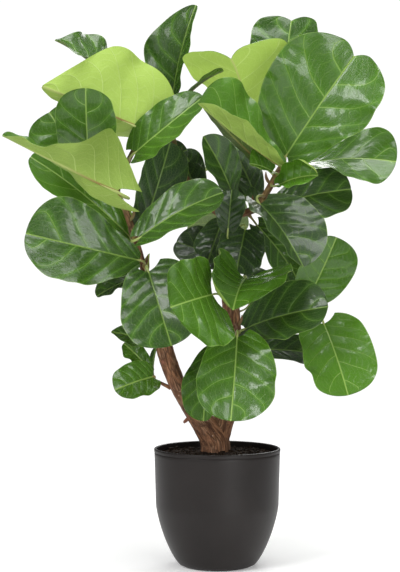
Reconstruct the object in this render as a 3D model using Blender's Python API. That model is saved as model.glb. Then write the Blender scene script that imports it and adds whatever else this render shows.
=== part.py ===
"""Potted fiddle leaf fig: a branching bush about 1.2 m tall, standing in a round matt charcoal planter.

The origin is the middle of the planter's base. +Z is up, and the side that shows best faces -Y.
"""

import math

import bpy
import numpy as np

MM = 0.001
GAP = 0.3 * MM

# Planter, in metres.
POT_HEIGHT = 0.250
POT_FOOT_RADIUS = 0.0775
POT_BELLY_RADIUS = 0.128
POT_BELLY_HEIGHT = 0.130
POT_BELLY_POWER = 1.4
POT_FLARE = 0.007
POT_WALL = 0.005
POT_FLOOR = 0.006
LIP_HEIGHT = 0.007
LIP_OVERHANG = 0.0006
POT_SIDES = 48
# Heights of the rings of the outer wall and of the inner wall.
POT_OUTER_LEVELS = (0, 0.006, 0.015, 0.028, 0.045, 0.066, 0.092, 0.125, 0.175)
POT_INNER_LEVELS = (0.236, 0.175, 0.125, 0.092, 0.066, 0.045, 0.028)
# Inside the corner of the floor: the height it starts at, and how far in from the outer wall it is.
CORNER_LEVEL = 0.010
CORNER_INSET = 0.010

# Potting soil: its level at the wall, and how far it rises towards the trunk.
SOIL_LEVEL = 0.236
SOIL_MOUND = 0.007

# Leaf solids: how thick they are under the midrib and under the blade, and the stalk's radius.
MIDRIB_THICKNESS = 2.2 * MM
BLADE_THICKNESS = 1.3 * MM
STALK_RADIUS = 2.4 * MM
STALK_CLEARANCE = 0.8 * MM
STALK_RINGS = (0.0, 0.35, 0.7)
# How far below a blade's base its stalk looks for the stem, and how far back the stalk's bend is.
STALK_DROP = 12 * MM
STALK_BEND = 0.35
BLADE_RINGS = (0.03, 0.13, 0.29, 0.46, 0.63, 0.79, 0.92)

TONES = {
    "leaf_green": ((0.060, 0.190, 0.030), 0.35),
    "leaf_bright": ((0.110, 0.300, 0.035), 0.30),
    "leaf_dark": ((0.022, 0.075, 0.018), 0.40),
    "bark": ((0.240, 0.095, 0.055), 0.85),
    "pot": ((0.028, 0.026, 0.026), 0.45),
    "soil": ((0.040, 0.024, 0.016), 0.95),
}

# Stems, from the root end up: x, y, z and radius of each point, in millimetres.
STEMS = {
    "trunk": (
        (-4, 0, 200, 29),
        (-4, 0, 240, 31),
        (-6, 0, 265, 31),
        (-24, -5, 295, 27),
        (-58, -10, 340, 19),
        (-84, -10, 385, 18),
        (-104, -10, 435, 18.5),
        (-116, -10, 475, 18),
        (-128, -15, 520, 17),
    ),
    "left_shoot": (
        (-134, -15, 530, 8),
        (-144, -20, 585, 8),
        (-156, -20, 630, 7.8),
        (-170, -20, 680, 7.5),
        (-182, -30, 720, 7),
        (-198, -30, 765, 6.5),
        (-212, -35, 795, 6),
        (-202, -35, 835, 6),
        (-186, -30, 870, 5.5),
        (-172, -25, 900, 5),
        (-166, -20, 920, 5),
    ),
    "right_stem": (
        (0, 0, 265, 24),
        (14, 10, 310, 23),
        (30, 20, 360, 21),
        (36, 30, 435, 20),
        (32, 35, 525, 19),
        (26, 40, 610, 18),
        (28, 40, 695, 17),
        (32, 40, 775, 16),
    ),
    "right_shoot": (
        (32, 40, 750, 8),
        (60, 20, 755, 8),
        (84, -10, 765, 8),
        (98, -30, 785, 7),
        (110, -40, 805, 7),
        (124, -45, 830, 7),
        (138, -50, 855, 6),
    ),
    "centre_shoot": (
        (30, 40, 730, 7),
        (-4, 40, 760, 7),
        (-38, 30, 795, 6),
        (-66, 30, 830, 6),
        (-82, 20, 865, 6),
        (-94, 30, 915, 5),
        (-100, 30, 960, 4.5),
        (-102, 30, 990, 4.5),
    ),
    "front_twig": (
        (32, 30, 410, 4),
        (40, -20, 460, 4),
        (38, -50, 485, 4),
        (42, -60, 520, 3.5),
        (38, -70, 550, 3.5),
        (14, -80, 570, 3),
    ),
    "left_twig": (
        (-112, -10, 385, 3.5),
        (-140, -20, 400, 3),
        (-148, -25, 405, 2.5),
    ),
    "right_twig": (
        (32, 35, 490, 6),
        (62, 20, 490, 6),
        (96, 10, 500, 5.5),
        (134, 0, 530, 5),
        (172, -5, 550, 4.5),
        (206, -10, 560, 4),
    ),
    "back_shoot": (
        (32, 40, 695, 7),
        (32, 90, 755, 7),
        (28, 120, 800, 6),
        (22, 140, 845, 5.5),
    ),
}

# The stem that each one grows from, and is trimmed to. A shoot is trimmed to its neighbours too.
TRIMMED_BY = {
    "left_shoot": ("trunk",),
    "right_stem": ("trunk",),
    "right_shoot": ("right_stem",),
    "centre_shoot": ("right_stem", "right_shoot"),
    "back_shoot": ("right_stem", "right_shoot", "centre_shoot"),
    "front_twig": ("right_stem",),
    "right_twig": ("right_stem", "front_twig"),
    "left_twig": ("trunk",),
}
STEM_SIDES = {"trunk": 16, "right_stem": 14}
SHOOT_SIDES = 8
STEPS_PER_SPAN = 2

# Every outline value not given in a leaf's row. Angles are in degrees, and the rest are fractions:
# fold and curl turn each half up from the midrib, arch and sway bow the midrib, hook drops the tip,
# cord sends the base lobes back, notch sends the end lobes forward, and left and right are the
# half widths from base to tip.
PLAIN_LEAF = dict(
    fold=(12, 12), curl=(10, 10), arch=0.06, sway=0, twist=0, hook=0, wave=0.05, waves=3,
    phase=0, cord=0.10, notch=0, left=(0.6, 0.78, 0.98, 1, 0.75), right=None,
)

# Leaves: name, the stem each grows from, blade base and tip and full width in millimetres,
# the way its upper side faces, and what its outline has of its own.
LEAVES = (
    ("leaf_left_back_high", "left_shoot", (-220, 40, 1030), (-345, -30, 1120), 155, (-.3, -.45, .8),
     dict(fold=(5, 20), wave=.08, left=(.6, .9, .9, .4, .1), right=(.7, 1.1, 1.25, .75, .12))),
    ("leaf_left_pale_high", "left_shoot", (-165, -75, 930), (-360, -140, 1005), 280, (-.1, .8, .6),
     dict(fold=(42, 30), curl=(8, 5), cord=.34, left=(.95, 1, 1, .5, .08),
          right=(.25, .5, .6, .3, .08), arch=.02)),
    ("leaf_left_glossy_upright", "left_shoot", (-270, -60, 840), (-270, -150, 1000), 125, (-.05, -.9, .4),
     dict(arch=.05, fold=(4, 4), left=(.7, .9, 1, 1, .85))),
    ("leaf_left_rear_round", "left_shoot", (-295, 35, 870), (-365, 35, 975), 135, (-.25, -.85, .3),
     dict(left=(.7, .95, 1.1, 1.05, .85))),
    ("leaf_left_pale_low", "left_shoot", (-200, -170, 785), (-420, -280, 890), 240, (-.1, .8, .55),
     dict(fold=(35, 30), curl=(5, 5), cord=.26, left=(.72, 1.05, .45, .22, .25),
          right=(.3, .3, .25, .25, .2), twist=150, arch=-.01)),
    ("leaf_left_long", "left_shoot", (-185, -5, 700), (-395, -50, 870), 105, (-.2, -.7, .65),
     dict(left=(.4, .6, .9, 1.1, .8))),
    ("leaf_left_pale_under", "left_shoot", (-180, 20, 690), (-315, 30, 825), 100, (-.2, .6, .7),
     dict(cord=0)),
    ("leaf_left_broad", "left_shoot", (-160, -50, 650), (-395, -130, 705), 190, (-.2, -.9, .3),
     dict(left=(.3, .62, .95, .95, .7), right=(.3, .5, .85, 1, .8), sway=-.02, cord=0)),
    ("leaf_left_small_low", "left_shoot", (-170, -25, 615), (-255, -50, 575), 60, (-.2, -.6, .8),
     dict(wave=.12)),
    ("leaf_centre_fan", "left_shoot", (-175, -72, 875), (-30, -132, 985), 105, (.3, -.7, .6),
     dict(arch=.05, left=(.7, .95, 1, .85, .6), sway=.03)),
    ("leaf_top_upright", "centre_shoot", (-98, 63, 1002), (-46, 12, 1203), 160, (-.1, -.9, .2),
     dict(fold=(12, 62), curl=(5, 5), left=(.2, .72, 1, .66, .25), right=(.25, .6, .8, .6, .25),
          sway=-.02)),
    ("leaf_top_pale_heart", "right_shoot", (74, 8, 958), (27, -118, 1073), 232, (.1, .62, .75),
     dict(fold=(22, 22), curl=(-12, -12), left=(.4, .6, .85, 1.05, 1), hook=.05, arch=.04,
          notch=.12, wave=.03)),
    ("leaf_right_trough", "right_shoot", (125, -135, 845), (-40, -220, 960), 210, (.1, -.85, .55),
     dict(fold=(78, 4), curl=(6, 4), left=(.2, .4, .55, .5, .25), right=(.2, .5, .95, 1.05, .85),
          arch=-.03)),
    ("leaf_right_under_trough", "right_shoot", (110, 20, 850), (-30, 20, 990), 85, (.3, .5, .8),
     dict(sway=.1, left=(.3, .6, 1, .8, .4))),
    ("leaf_right_largest", "right_shoot", (140, -75, 865), (280, -140, 1070), 255, (.05, -.95, .3),
     dict(fold=(8, 8), left=(.5, .82, 1, 1, .85), right=(.35, .5, .78, .87, .75), notch=.12,
          arch=.05)),
    ("leaf_right_back_high", "right_shoot", (145, 50, 1010), (165, 80, 1185), 160, (-.2, -.9, .3),
     dict(wave=.06, waves=4, left=(.6, .8, 1, 1.05, 1), right=(.6, .8, .9, .9, .9), notch=.06)),
    ("leaf_right_reaching", "right_shoot", (160, -30, 850), (370, -100, 855), 145, (0, -.5, .85),
     dict(cord=0, twist=-60, fold=(5, 5), left=(.5, .7, .9, 1.1, .9))),
    ("leaf_right_young_folded", "right_shoot", (125, -115, 805), (200, -180, 820), 95, (.1, -.7, .7),
     dict(fold=(40, 10), curl=(120, 5), left=(.3, .6, 1, 1.1, .8))),
    ("leaf_right_young_cup", "right_shoot", (115, -108, 833), (65, -133, 848), 80, (-.1, -.7, .7),
     dict(left=(.7, .9, 1, 1, .9), fold=(20, 20))),
    ("leaf_right_dark_side", "right_shoot", (115, -50, 765), (280, -70, 800), 120, (.2, -.85, .5),
     dict(cord=0, left=(.4, .6, .85, .9, .8), right=(.5, .9, 1.2, 1.25, 1))),
    ("leaf_right_hanging", "right_shoot", (85, -100, 770), (170, -195, 635), 170, (.4, -.85, .3),
     dict(left=(.8, 1, 1.1, .95, .6), right=(.6, .7, .65, .5, .3), fold=(8, 25))),
    ("leaf_centre_round", "right_stem", (60, -10, 720), (40, -10, 625), 105, (0, -.95, .2),
     dict(left=(.8, .95, 1, .95, .8))),
    ("leaf_centre_hanging", "right_shoot", (85, 20, 730), (175, 20, 610), 95, (.2, -.8, .5),
     dict()),
    ("leaf_right_round", "right_twig", (195, -20, 575), (250, -60, 700), 115, (.3, -.9, .3),
     dict(left=(.7, .9, .95, .9, .7), right=(.7, .95, 1.1, 1.1, .9))),
    ("leaf_right_dark_low", "right_twig", (55, -40, 505), (225, -140, 555), 135, (.1, -.85, .5),
     dict(left=(.5, .75, 1, 1, .8), right=(.5, .75, 1, 1, .8))),
    ("leaf_right_lowest", "right_twig", (225, -30, 520), (270, -100, 370), 160, (.1, -.85, .4),
     dict(left=(.8, .95, 1, .95, .8), right=(.8, .9, 1, .95, .8))),
    ("leaf_right_olive_low", "right_twig", (85, 0, 460), (235, 30, 445), 75, (0, -.8, .6),
     dict()),
    ("leaf_front_low", "front_twig", (40, -110, 495), (25, -180, 325), 165, (.05, -.95, .3),
     dict(left=(.6, .9, 1.05, 1, .8), right=(.5, .75, .95, .95, .75))),
    ("leaf_front_low_rear", "front_twig", (-10, -40, 460), (-30, -80, 315), 95, (-.3, -.9, .3),
     dict(left=(.5, .6, .7, .6, .5), right=(.5, .8, 1.1, 1, .8))),
    ("leaf_front_wavy", "front_twig", (-10, -130, 580), (-95, -220, 555), 185, (.5, -.75, .3),
     dict(left=(1, 1.15, 1.2, 1.1, .9), right=(.9, .9, .9, .9, .8), fold=(5, 5), curl=(15, 25))),
    ("leaf_front_cup", "right_stem", (60, -30, 615), (30, -175, 550), 180, (-.15, -.6, .8),
     dict(left=(1.05, 1.25, 1.3, 1.2, .9), right=(.9, 1, 1, 1, .9), fold=(10, 25), curl=(20, 75), cord=0)),
    ("leaf_left_low_round", "left_shoot", (-145, -90, 630), (-95, -150, 475), 165, (-.1, -.9, .35),
     dict(left=(.8, 1, 1, .9, .75), right=(.6, .8, 1, 1, .8))),
    ("leaf_left_low_muted", "trunk", (-150, -20, 480), (-225, -40, 500), 60, (-.1, -.8, .5),
     dict(left=(.6, .8, .9, .6, .2))),
    ("leaf_left_low_curled", "left_twig", (-145, -10, 420), (-200, -20, 475), 45, (-.1, -.8, .5),
     dict(wave=.2)),
    ("leaf_left_lowest", "left_twig", (-135, -30, 405), (-215, -80, 380), 85, (-.1, -.9, .3),
     dict(left=(.7, .95, 1, .9, .8))),
    ("leaf_shade_left", "right_stem", (35, 80, 640), (-90, 100, 695), 105, (0, -.8, .5),
     dict()),
    ("leaf_centre_long", "left_shoot", (-165, -100, 695), (10, -120, 790), 125, (.2, -.65, .7),
     dict(left=(.5, .7, .9, .9, .7), right=(.5, .8, 1, 1, .7))),
    ("leaf_centre_dark", "left_shoot", (-161, -4, 715), (-101, -4, 905), 100, (.3, -.8, .3),
     dict(left=(.6, .8, .9, .9, .7), right=(.5, .8, 1.1, 1.1, .8))),
    ("leaf_centre_striped", "right_shoot", (40, -5, 770), (-30, -120, 905), 95, (.3, -.9, .2),
     dict(fold=(25, 25), left=(.15, .3, .85, 1, .8), right=(.15, .35, .85, .95, .7))),
    ("leaf_shade_right", "right_shoot", (85, 40, 790), (40, 100, 895), 75, (0, -.8, .5),
     dict(left=(.5, .8, 1, .9, .7))),
    ("leaf_shade_centre", "centre_shoot", (-35, 50, 775), (-70, 50, 865), 65, (0, -.9, .3),
     dict()),
    ("leaf_shade_tip", "centre_shoot", (-130, 70, 855), (-65, 50, 895), 70, (0, -.8, .5),
     dict()),
    ("leaf_top_narrow", "centre_shoot", (-80, -15, 985), (10, -120, 1040), 40, (-.1, -.6, .8),
     dict()),
    ("leaf_shade_middle", "right_stem", (10, 25, 735), (-20, 10, 650), 80, (0, -.8, .5),
     dict()),
    ("leaf_shade_low", "right_stem", (70, 60, 555), (110, 50, 630), 80, (0, -.8, .5),
     dict()),
    ("leaf_back_left", "back_shoot", (-25, 170, 860), (-105, 330, 810), 140, (-.1, -.3, .9),
     dict()),
    ("leaf_back_right", "back_shoot", (35, 170, 870), (185, 340, 925), 155, (.1, -.3, .9),
     dict()),
    ("leaf_back_low", "back_shoot", (25, 140, 780), (-5, 330, 670), 145, (0, .3, .9),
     dict()),
)

BRIGHT_LEAVES = {
    "leaf_left_pale_high", "leaf_left_pale_low", "leaf_left_pale_under", "leaf_top_pale_heart",
    "leaf_right_trough", "leaf_right_young_folded", "leaf_right_young_cup", "leaf_right_round",
    "leaf_right_lowest", "leaf_front_wavy", "leaf_front_cup", "leaf_left_lowest",
    "leaf_left_low_curled",
}
DARK_LEAVES = {
    "leaf_centre_dark", "leaf_shade_left", "leaf_shade_right", "leaf_shade_centre",
    "leaf_shade_tip", "leaf_shade_middle", "leaf_shade_low", "leaf_centre_round",
    "leaf_right_dark_side", "leaf_right_dark_low", "leaf_right_under_trough",
}


def unit(vector):
    vector = np.asarray(vector, float)
    return vector / np.linalg.norm(vector, axis=-1, keepdims=True)


def clear_scene():
    for obj in list(bpy.data.objects):
        bpy.data.objects.remove(obj, do_unlink=True)


def material(tone):
    """The Principled material of one tone, made the first time it is asked for."""
    if tone in bpy.data.materials:
        return bpy.data.materials[tone]
    colour, roughness = TONES[tone]
    made = bpy.data.materials.new(tone)
    made.use_nodes = True
    shader = made.node_tree.nodes["Principled BSDF"]
    shader.inputs["Base Color"].default_value = (*colour, 1)
    shader.inputs["Roughness"].default_value = roughness
    shader.inputs["Metallic"].default_value = 0
    made.diffuse_color = (*colour, 1)
    return made


def add_solid(name, points, faces, tone):
    """A closed mesh object, its faces turned outward."""
    mesh = bpy.data.meshes.new(name)
    mesh.from_pydata([tuple(point) for point in points], [], faces)
    volume = 0.0
    for face in faces:
        for second, third in zip(face[1:-1], face[2:]):
            volume += np.dot(points[face[0]], np.cross(points[second], points[third]))
    if volume < 0:
        mesh.flip_normals()
    mesh.shade_smooth()
    mesh.set_sharp_from_angle(angle=math.radians(40))
    mesh.materials.append(material(tone))
    obj = bpy.data.objects.new(name, mesh)
    bpy.context.scene.collection.objects.link(obj)
    return obj


def hide_cutter(obj):
    obj.hide_render = True
    obj.display_type = "WIRE"


def cut(obj, cutter):
    boolean = obj.modifiers.new("trim_" + cutter.name, "BOOLEAN")
    boolean.operation = "DIFFERENCE"
    boolean.solver = "EXACT"
    boolean.object = cutter


def loft(rings, start_cap=True, end_cap=True):
    """(points, faces) of a skin over equal rings. A capped end gets one flat face."""
    rings = np.asarray(rings)
    count = rings.shape[1]
    points = rings.reshape(-1, 3)
    faces = []
    for row in range(len(rings) - 1):
        for column in range(count):
            beside = (column + 1) % count
            low, high = row * count, (row + 1) * count
            faces.append((low + column, low + beside, high + beside, high + column))
    if start_cap:
        faces.append(tuple(reversed(range(count))))
    if end_cap:
        last = (len(rings) - 1) * count
        faces.append(tuple(range(last, last + count)))
    return points, faces


def close_to_point(points, faces, ring_start, count, tip, reverse=False):
    """Adds a fan from one ring to a single point."""
    points = np.vstack([points, tip])
    peak = len(points) - 1
    for column in range(count):
        pair = (ring_start + column, ring_start + (column + 1) % count)
        faces.append((*(reversed(pair) if reverse else pair), peak))
    return points, faces


def through(values, steps):
    """A smooth curve through the given rows (Catmull-Rom), with this many steps per span."""
    rows = np.asarray(values, float)
    padded = np.vstack([2 * rows[0] - rows[1], rows, 2 * rows[-1] - rows[-2]])
    where = np.linspace(0, len(rows) - 1, (len(rows) - 1) * steps + 1)
    span = np.minimum(where.astype(int), len(rows) - 2)
    t = (where - span)[:, None]
    a, b, c, d = (padded[span + shift] for shift in range(4))
    return 0.5 * (2 * b + (c - a) * t + (2 * a - 5 * b + 4 * c - d) * t**2
                  + (3 * b - a - 3 * c + d) * t**3)


def circle_rings(centres, radii, sides):
    """Rings square to a path, turned along it without twist."""
    tangents = unit(np.gradient(centres, axis=0))
    side = unit(np.cross(tangents[0], (0.3, 1.0, 0.2)))
    angles = np.linspace(0, 2 * np.pi, sides, endpoint=False)
    rings = []
    for centre, tangent, radius in zip(centres, tangents, radii):
        side = unit(side - tangent * np.dot(side, tangent))
        other = np.cross(tangent, side)
        rings.append(centre + radius * (np.cos(angles)[:, None] * side + np.sin(angles)[:, None] * other))
    return np.array(rings)


def stem_path(name):
    rows = through(STEMS[name], STEPS_PER_SPAN) * MM
    return rows[:, :3], rows[:, 3]


def add_stem(name):
    centres, radii = stem_path(name)
    sides = STEM_SIDES.get(name, SHOOT_SIDES)
    return add_solid(name, *loft(circle_rings(centres, radii, sides)), "bark")


def stem_cutter(name):
    """The stem grown by the gap all round, which trims what touches it."""
    centres, radii = stem_path(name)
    ends = unit(centres[[0, -1]] - centres[[1, -2]]) * GAP
    centres = centres.copy()
    centres[[0, -1]] += ends
    sides = STEM_SIDES.get(name, SHOOT_SIDES)
    cutter = add_solid("cutter_" + name, *loft(circle_rings(centres, radii + GAP, sides)), "bark")
    hide_cutter(cutter)
    return cutter


def pot_radius(z):
    """The planter's outer radius: a rounded belly low down, and a slight flare above it."""
    rise = np.clip(z / POT_BELLY_HEIGHT, 0, 1)
    belly = (1 - (1 - rise) ** POT_BELLY_POWER) ** (1 / POT_BELLY_POWER)
    flare = POT_FLARE * z / POT_HEIGHT
    return POT_FOOT_RADIUS + (POT_BELLY_RADIUS - POT_FOOT_RADIUS) * belly + flare


def turned(name, profile, tone):
    """A solid turned about the Z axis from (radius, z) pairs, closed on the axis at both ends."""
    angles = np.linspace(0, 2 * np.pi, POT_SIDES, endpoint=False)
    ring = np.stack([np.cos(angles), np.sin(angles)], axis=1)
    rings = [np.column_stack([ring * radius, np.full(POT_SIDES, z)]) for radius, z in profile]
    points, faces = loft(rings, start_cap=False, end_cap=False)
    points, faces = close_to_point(points, faces, 0, POT_SIDES, (0, 0, profile[0][1]), reverse=True)
    last = (len(profile) - 1) * POT_SIDES
    points, faces = close_to_point(points, faces, last, POT_SIDES, (0, 0, profile[-1][1]))
    return add_solid(name, points, faces, tone)


def add_pot():
    outer = [(pot_radius(z), z) for z in POT_OUTER_LEVELS]
    under_lip = POT_HEIGHT - LIP_HEIGHT
    rim = pot_radius(POT_HEIGHT)
    lip = [
        (pot_radius(under_lip), under_lip),
        (rim + LIP_OVERHANG, under_lip + MM),
        (rim + LIP_OVERHANG, POT_HEIGHT - 2 * MM),
        (rim - MM, POT_HEIGHT),
        (rim - POT_WALL, POT_HEIGHT),
        (rim - POT_WALL - MM, POT_HEIGHT - MM),
    ]
    inner = [(pot_radius(z) - POT_WALL, z) for z in POT_INNER_LEVELS]
    floor = [
        (pot_radius(CORNER_LEVEL) - CORNER_INSET, CORNER_LEVEL),
        (POT_FOOT_RADIUS - POT_WALL, POT_FLOOR),
    ]
    return turned("pot", outer + lip + inner + floor, "pot")


def add_soil():
    """The soil fills the planter to its level, clear of the wall by the gap, and rises to the trunk."""
    inset = POT_WALL + GAP
    low = [
        (POT_FOOT_RADIUS - inset - MM, POT_FLOOR + GAP),
        (pot_radius(CORNER_LEVEL) - CORNER_INSET - GAP, CORNER_LEVEL + GAP),
    ]
    side = [(pot_radius(z) - inset, z) for z in reversed(POT_INNER_LEVELS)]
    edge = side[-1][0]
    mound = [
        (0.65 * edge, SOIL_LEVEL + 0.35 * SOIL_MOUND),
        (0.35 * edge, SOIL_LEVEL + SOIL_MOUND),
    ]
    return turned("soil", low + side + mound, "soil")


def leaf_frame(base, tip, facing):
    """The leaf's length, and its forward, upward and rightward directions."""
    length = np.linalg.norm(tip - base)
    forward = (tip - base) / length
    upward = np.asarray(facing, float)
    upward = unit(upward - forward * np.dot(upward, forward))
    return length, forward, upward, np.cross(forward, upward)


def blade(base, tip, width, facing, shape, along, across):
    """Points and upward directions of a blade, a row for each step from base (0) to tip (1) and a
    column for each step from the left edge (-1) to the right (1).

    The midrib is a bowed line. Each half leaves it at the fold angle and turns further by the curl
    angle, so its section is an arc whose length is the half width there: a rounded-off outline
    times a smooth curve through five values. The margin is then lifted and dropped by a sine wave.
    """
    length, forward, upward, rightward = leaf_frame(base, tip, facing)
    s = np.asarray(along, float)[:, None]
    v = np.asarray(across, float)[None, :]

    def midrib(at):
        bow = 4 * at * (1 - at)
        drop = np.clip((at - 0.7) / 0.3, 0, 1) ** 2
        lift = shape["arch"] * bow - shape["hook"] * drop
        return base + length * (forward * at + upward * lift + rightward * shape["sway"] * bow)

    small = 1e-3
    tangent = unit(midrib(s + small) - midrib(s - small))
    normal = unit(upward - tangent * (tangent @ upward)[:, None])
    side = np.cross(tangent, normal)
    turn = np.radians(shape["twist"]) * (s - 0.35)
    cosine, sine = np.cos(turn), np.sin(turn)
    normal, side = normal * cosine - side * sine, side * cosine + normal * sine

    def half_width(values):
        table = through(np.asarray(values, float)[:, None], 8)[:, 0]
        return np.interp(s, np.linspace(0, 1, len(table)), table)

    is_left = v < 0
    outline = np.sqrt(np.clip(1 - np.abs(2 * s - 1) ** 6, 0, 1))
    left, right = shape["left"], shape["right"] or shape["left"]
    half = width / 2 * outline * np.where(is_left, half_width(left), half_width(right))
    sign = np.where(is_left, -1.0, 1.0)
    out = np.abs(v)
    fold = np.radians(np.where(is_left, *shape["fold"]))
    curl = np.radians(np.where(is_left, *shape["curl"]))
    curl = np.where(curl == 0, small, curl)
    angle = fold + curl * out
    sideways = half * (np.sin(angle) - np.sin(fold)) / curl
    rise = half * (np.cos(fold) - np.cos(angle)) / curl
    swell = np.sqrt(np.sin(np.pi * np.clip(s, 0, 1)).clip(0))
    phase = shape["waves"] * s + shape["phase"] + 0.5 * is_left
    ripple = shape["wave"] * width / 2 * out**2.2 * np.sin(2 * np.pi * phase) * swell
    back = shape["cord"] * out**2 * (1 - s) ** 4
    ahead = shape["notch"] * out * (1.5 - out) * s**5
    slide = length * (ahead - back)

    tangent, normal, side = (part[:, None, :] for part in (tangent, normal, side))
    local = normal * np.cos(angle)[..., None] - side * (sign * np.sin(angle))[..., None]
    points = (midrib(s)[:, None, :] + side * (sign * sideways)[..., None] + normal * rise[..., None]
              + tangent * slide[..., None] + local * ripple[..., None])
    return points, local


def stalk_rings(stem, base, forward, upward, rightward):
    """Rings of the leaf's stalk, from just clear of the stem to the blade."""
    centres, radii = stem_path(stem)
    nearest = np.argmin(np.linalg.norm(centres - (base - (0, 0, STALK_DROP)), axis=1))
    centre = centres[nearest]
    before, after = centres[max(nearest - 1, 0)], centres[min(nearest + 1, len(centres) - 1)]
    stem_way = unit(after - before)
    way = unit(base - centre)
    slant = max(np.linalg.norm(np.cross(way, stem_way)), 0.3)
    clear = radii[nearest] + STALK_CLEARANCE + STALK_RADIUS * abs(np.dot(way, stem_way))
    start = centre + way * clear / slant
    reach = np.linalg.norm(base - start)
    bend = base - forward * STALK_BEND * reach
    angles = np.radians((180, 135, 90, 45, 0, -45, -90, -135))
    rings = []
    for t in STALK_RINGS:
        middle = (1 - t) ** 2 * start + 2 * t * (1 - t) * bend + t**2 * base
        heading = unit((1 - t) * (bend - start) + t * (base - bend))
        side = unit(rightward - heading * np.dot(rightward, heading))
        top = np.cross(side, heading)
        outline = np.cos(angles)[:, None] * side + np.sin(angles)[:, None] * top
        rings.append(middle + STALK_RADIUS * outline)
    return rings


def split_faces(faces, count):
    """Four-sided faces cut in two. The diagonals of the upper side (the first half of a ring) and of the
    under side run the same way, so the two sides stay one thickness apart where the blade twists."""
    pieces = []
    for face in faces:
        if len(face) != 4:
            pieces.append(face)
            continue
        a, b, c, d = face
        upper = a % count < count // 2
        pieces += [(a, b, c), (a, c, d)] if upper else [(a, b, d), (b, c, d)]
    return pieces


def add_leaf(name, stem, base, tip, width, facing, own_shape):
    shape = PLAIN_LEAF | own_shape
    base, tip, width = np.array(base) * MM, np.array(tip) * MM, width * MM
    _, forward, upward, rightward = leaf_frame(base, tip, facing)
    top, local = blade(base, tip, width, facing, shape, BLADE_RINGS, (-1, -0.5, 0, 0.5, 1))
    depth = np.array((BLADE_THICKNESS, MIDRIB_THICKNESS, BLADE_THICKNESS))[None, ::-1, None]
    under = top[:, 3:0:-1] - local[:, 3:0:-1] * depth
    rings = stalk_rings(stem, base, forward, upward, rightward)
    rings += list(np.concatenate([top, under], axis=1))
    end, _ = blade(base, tip, width, facing, shape, (1.0,), (0.0,))
    count = len(rings[0])
    points, faces = loft(rings, end_cap=False)
    points, faces = close_to_point(points, faces, (len(rings) - 1) * count, count, end.reshape(1, 3))
    faces = split_faces(faces, count)
    tone = "leaf_green"
    if name in BRIGHT_LEAVES:
        tone = "leaf_bright"
    elif name in DARK_LEAVES:
        tone = "leaf_dark"
    return add_solid(name, points, faces, tone)


def main():
    clear_scene()
    add_pot()
    soil = add_soil()
    stems = {name: add_stem(name) for name in STEMS}
    parents = sorted({parent for group in TRIMMED_BY.values() for parent in group})
    cutters = {name: stem_cutter(name) for name in parents}
    for name, group in TRIMMED_BY.items():
        for parent in group:
            cut(stems[name], cutters[parent])
    cut(soil, cutters["trunk"])
    for row in LEAVES:
        add_leaf(*row)


main()
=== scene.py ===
"""Potted fiddle leaf fig: glossy ribbed leaves, woody stems, soil, matt charcoal planter and white studio.

Every leaf, stem and turned piece is a surface worked out on a grid with numpy. All lengths are in metres,
but for the tables of shapes, which are in millimetres.
"""

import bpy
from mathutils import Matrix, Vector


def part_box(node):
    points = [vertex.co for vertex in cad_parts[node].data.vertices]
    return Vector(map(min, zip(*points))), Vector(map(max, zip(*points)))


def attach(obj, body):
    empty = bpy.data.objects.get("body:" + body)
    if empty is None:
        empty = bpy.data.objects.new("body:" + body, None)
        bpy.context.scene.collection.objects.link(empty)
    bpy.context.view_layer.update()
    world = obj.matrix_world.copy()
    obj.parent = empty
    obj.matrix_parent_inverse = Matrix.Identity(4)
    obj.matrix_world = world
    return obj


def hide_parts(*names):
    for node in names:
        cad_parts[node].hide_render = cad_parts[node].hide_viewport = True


bl_info = {
    "name": "Potted fiddle leaf fig",
    "version": (1, 0, 0),
    "blender": (4, 5, 0),
    "location": "3D View > Sidebar > Fig",
    "description": "Leaves, bark, soil and planter of a potted fiddle leaf fig, and its studio",
    "category": "Object",
}

import math

import bpy
import numpy as np

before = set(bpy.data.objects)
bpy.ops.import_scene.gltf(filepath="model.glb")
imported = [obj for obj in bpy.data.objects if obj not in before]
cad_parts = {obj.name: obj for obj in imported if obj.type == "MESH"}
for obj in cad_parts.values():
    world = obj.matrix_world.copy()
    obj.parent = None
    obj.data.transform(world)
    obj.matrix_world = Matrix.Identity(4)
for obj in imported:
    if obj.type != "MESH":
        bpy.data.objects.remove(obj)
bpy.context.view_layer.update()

MM = 0.001

# A leaf's relief, in metres: half widths of the grooves over side veins and midrib, the ridges under them,
# pitches and heights of its random swells, and the width from which a leaf has its full relief.
VEIN_HALF, RIB_HALF = 0.0028, 0.0030
VEIN_RIDGE, RIB_RIDGE = 0.0006, 0.0022
SWELL_PITCH, FINE_PITCH, FRILL_PITCH = 0.11, 0.028, 0.060
SWELL_HEIGHT, FINE_HEIGHT = 0.0020, 0.0004
FULL_WIDTH = 0.16

# Where along it a twisted blade faces the way its row says, and the painted half widths of the midrib.
UNTWISTED = 0.35
UPPER_RIB, UNDER_RIB = 0.0016, 0.0021

# ---- Shapes of this plant ----

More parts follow.
